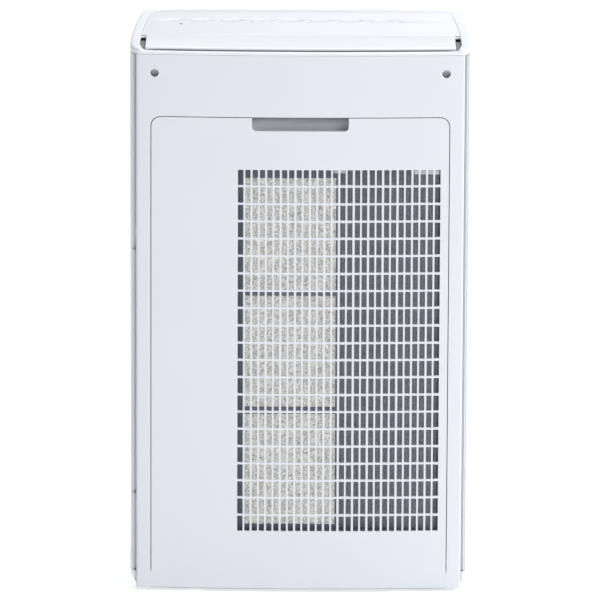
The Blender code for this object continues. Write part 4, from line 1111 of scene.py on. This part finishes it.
CAP_RIBS, LEVELS = 36, (140 * MM, 330 * MM)
tank_clear = finish("tank_clear", (0.60, 0.75, 0.88), 0.16, relief=0.004, Alpha=0.42)
wick_blue = finish("wick_blue", (0.55, 0.70, 0.78), 0.95, grain=0.9, relief=0.08, mottle=0.08)
softened("tank_moulding", "tank_body", tank_clear, 1.2, "water_drawer", segments=3)
softened("tray_moulding", "water_tray", inner_grey, 0.5, "water_drawer")
softened("wick_frame_moulding", "wick_frame", inner_grey, 0.6, "water_drawer")
softened("tank_bay_wall", "tank_bay_partition", inner_grey, 0.5)


def make_tank_marks():
    """Level marks stand on the tank's rear face, every fourth one longer."""
    low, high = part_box("tank_body")
    end, half, marks = high.x - 4 * MM, 0.3 * MM, []
    for k, z in enumerate(np.linspace(*LEVELS, 17)):
        reach = (5 if k % 4 else 9) * MM
        marks.append(block((end - reach, low.y - 0.15 * MM, z - half),
                           (end, low.y + 0.2 * MM, z + half)))
    piece("tank_level_marks", marks, mark_grey, body="water_drawer")


def make_cap():
    """A cup open at the top, whose profile is in mm; its outside swells and shrinks as a
    cosine round the axis."""
    low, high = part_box("tank_cap")
    rim, top, hollow, floor = (high.x - low.x) / 2 / MM, (high.z - low.z) / MM, 17.35, 9.5
    profile = [(0, 0), (rim - 1.2, 0), (rim, 1.2), (rim, top - 1), (rim - 1, top), (hollow, top),
               (hollow, floor), (0, floor)]
    angle = np.linspace(0, 2 * np.pi, 6 * CAP_RIBS, endpoint=False)
    grid = []
    for r, z in profile:
        r = (r - 0.4 * (1 - np.cos(CAP_RIBS * angle)) * (r > rim - 0.5)) * MM
        grid.append(at(np.c_[r * np.cos(angle), r * np.sin(angle)] + middle_of("tank_cap"),
                       low.z + z * MM))
    piece("tank_cap_moulding", [patch(grid, columns=True)], cap_blue, ["tank_cap"], "tank_cap")


def make_wick():
    """The same folded line as the particle filter's, with fewer and thicker folds."""
    low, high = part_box("wick_filter")
    line = pleats(low, high, WICK_FOLDS)
    piece("pleated_wick", [patch([at(line, low.z), at(line, high.z)])], wick_blue,
          ["wick_filter"], "water_drawer", wall=0.7 * MM)


make_tank_marks()
make_cap()
make_wick()


# ---------- electrics
# Two green lacquered boards carry the switches and the supply. The mains inlet sits low on the
# right, and the dust sensor is high on the same side.

board_green = finish("board_green", (0.04, 0.20, 0.10), 0.3, mottle=0.2)
softened("switch_board", "control_board", board_green, 0.2)
softened("supply_board", "power_board", board_green, 0.2)
softened("mains_socket", "mains_inlet", black_and_painted_shadow, 0.5)
softened("dust_sensor_case", "dust_sensor", black_and_painted_shadow, 0.6)


def make_components():
    """Two round capacitors, turned, and a transformer and a connector as blocks."""
    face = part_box("power_board")[1].y
    can = np.array([(0, 0), (6, 0), (6, 17), (5.4, 18), (0, 18)]) * MM + (0, face)
    cans = [turned(can, (x, 0, 232 * MM), "Y", 32) for x in (-28 * MM, -12 * MM)]
    boxes = [block((4 * MM, face, 218 * MM), (24 * MM, face + 15 * MM, 238 * MM)),
             block((-30 * MM, face, 199 * MM), (-6 * MM, face + 8 * MM, 208 * MM))]
    piece("supply_components", cans + boxes, black_and_painted_shadow, edge=0.4 * MM)


make_components()
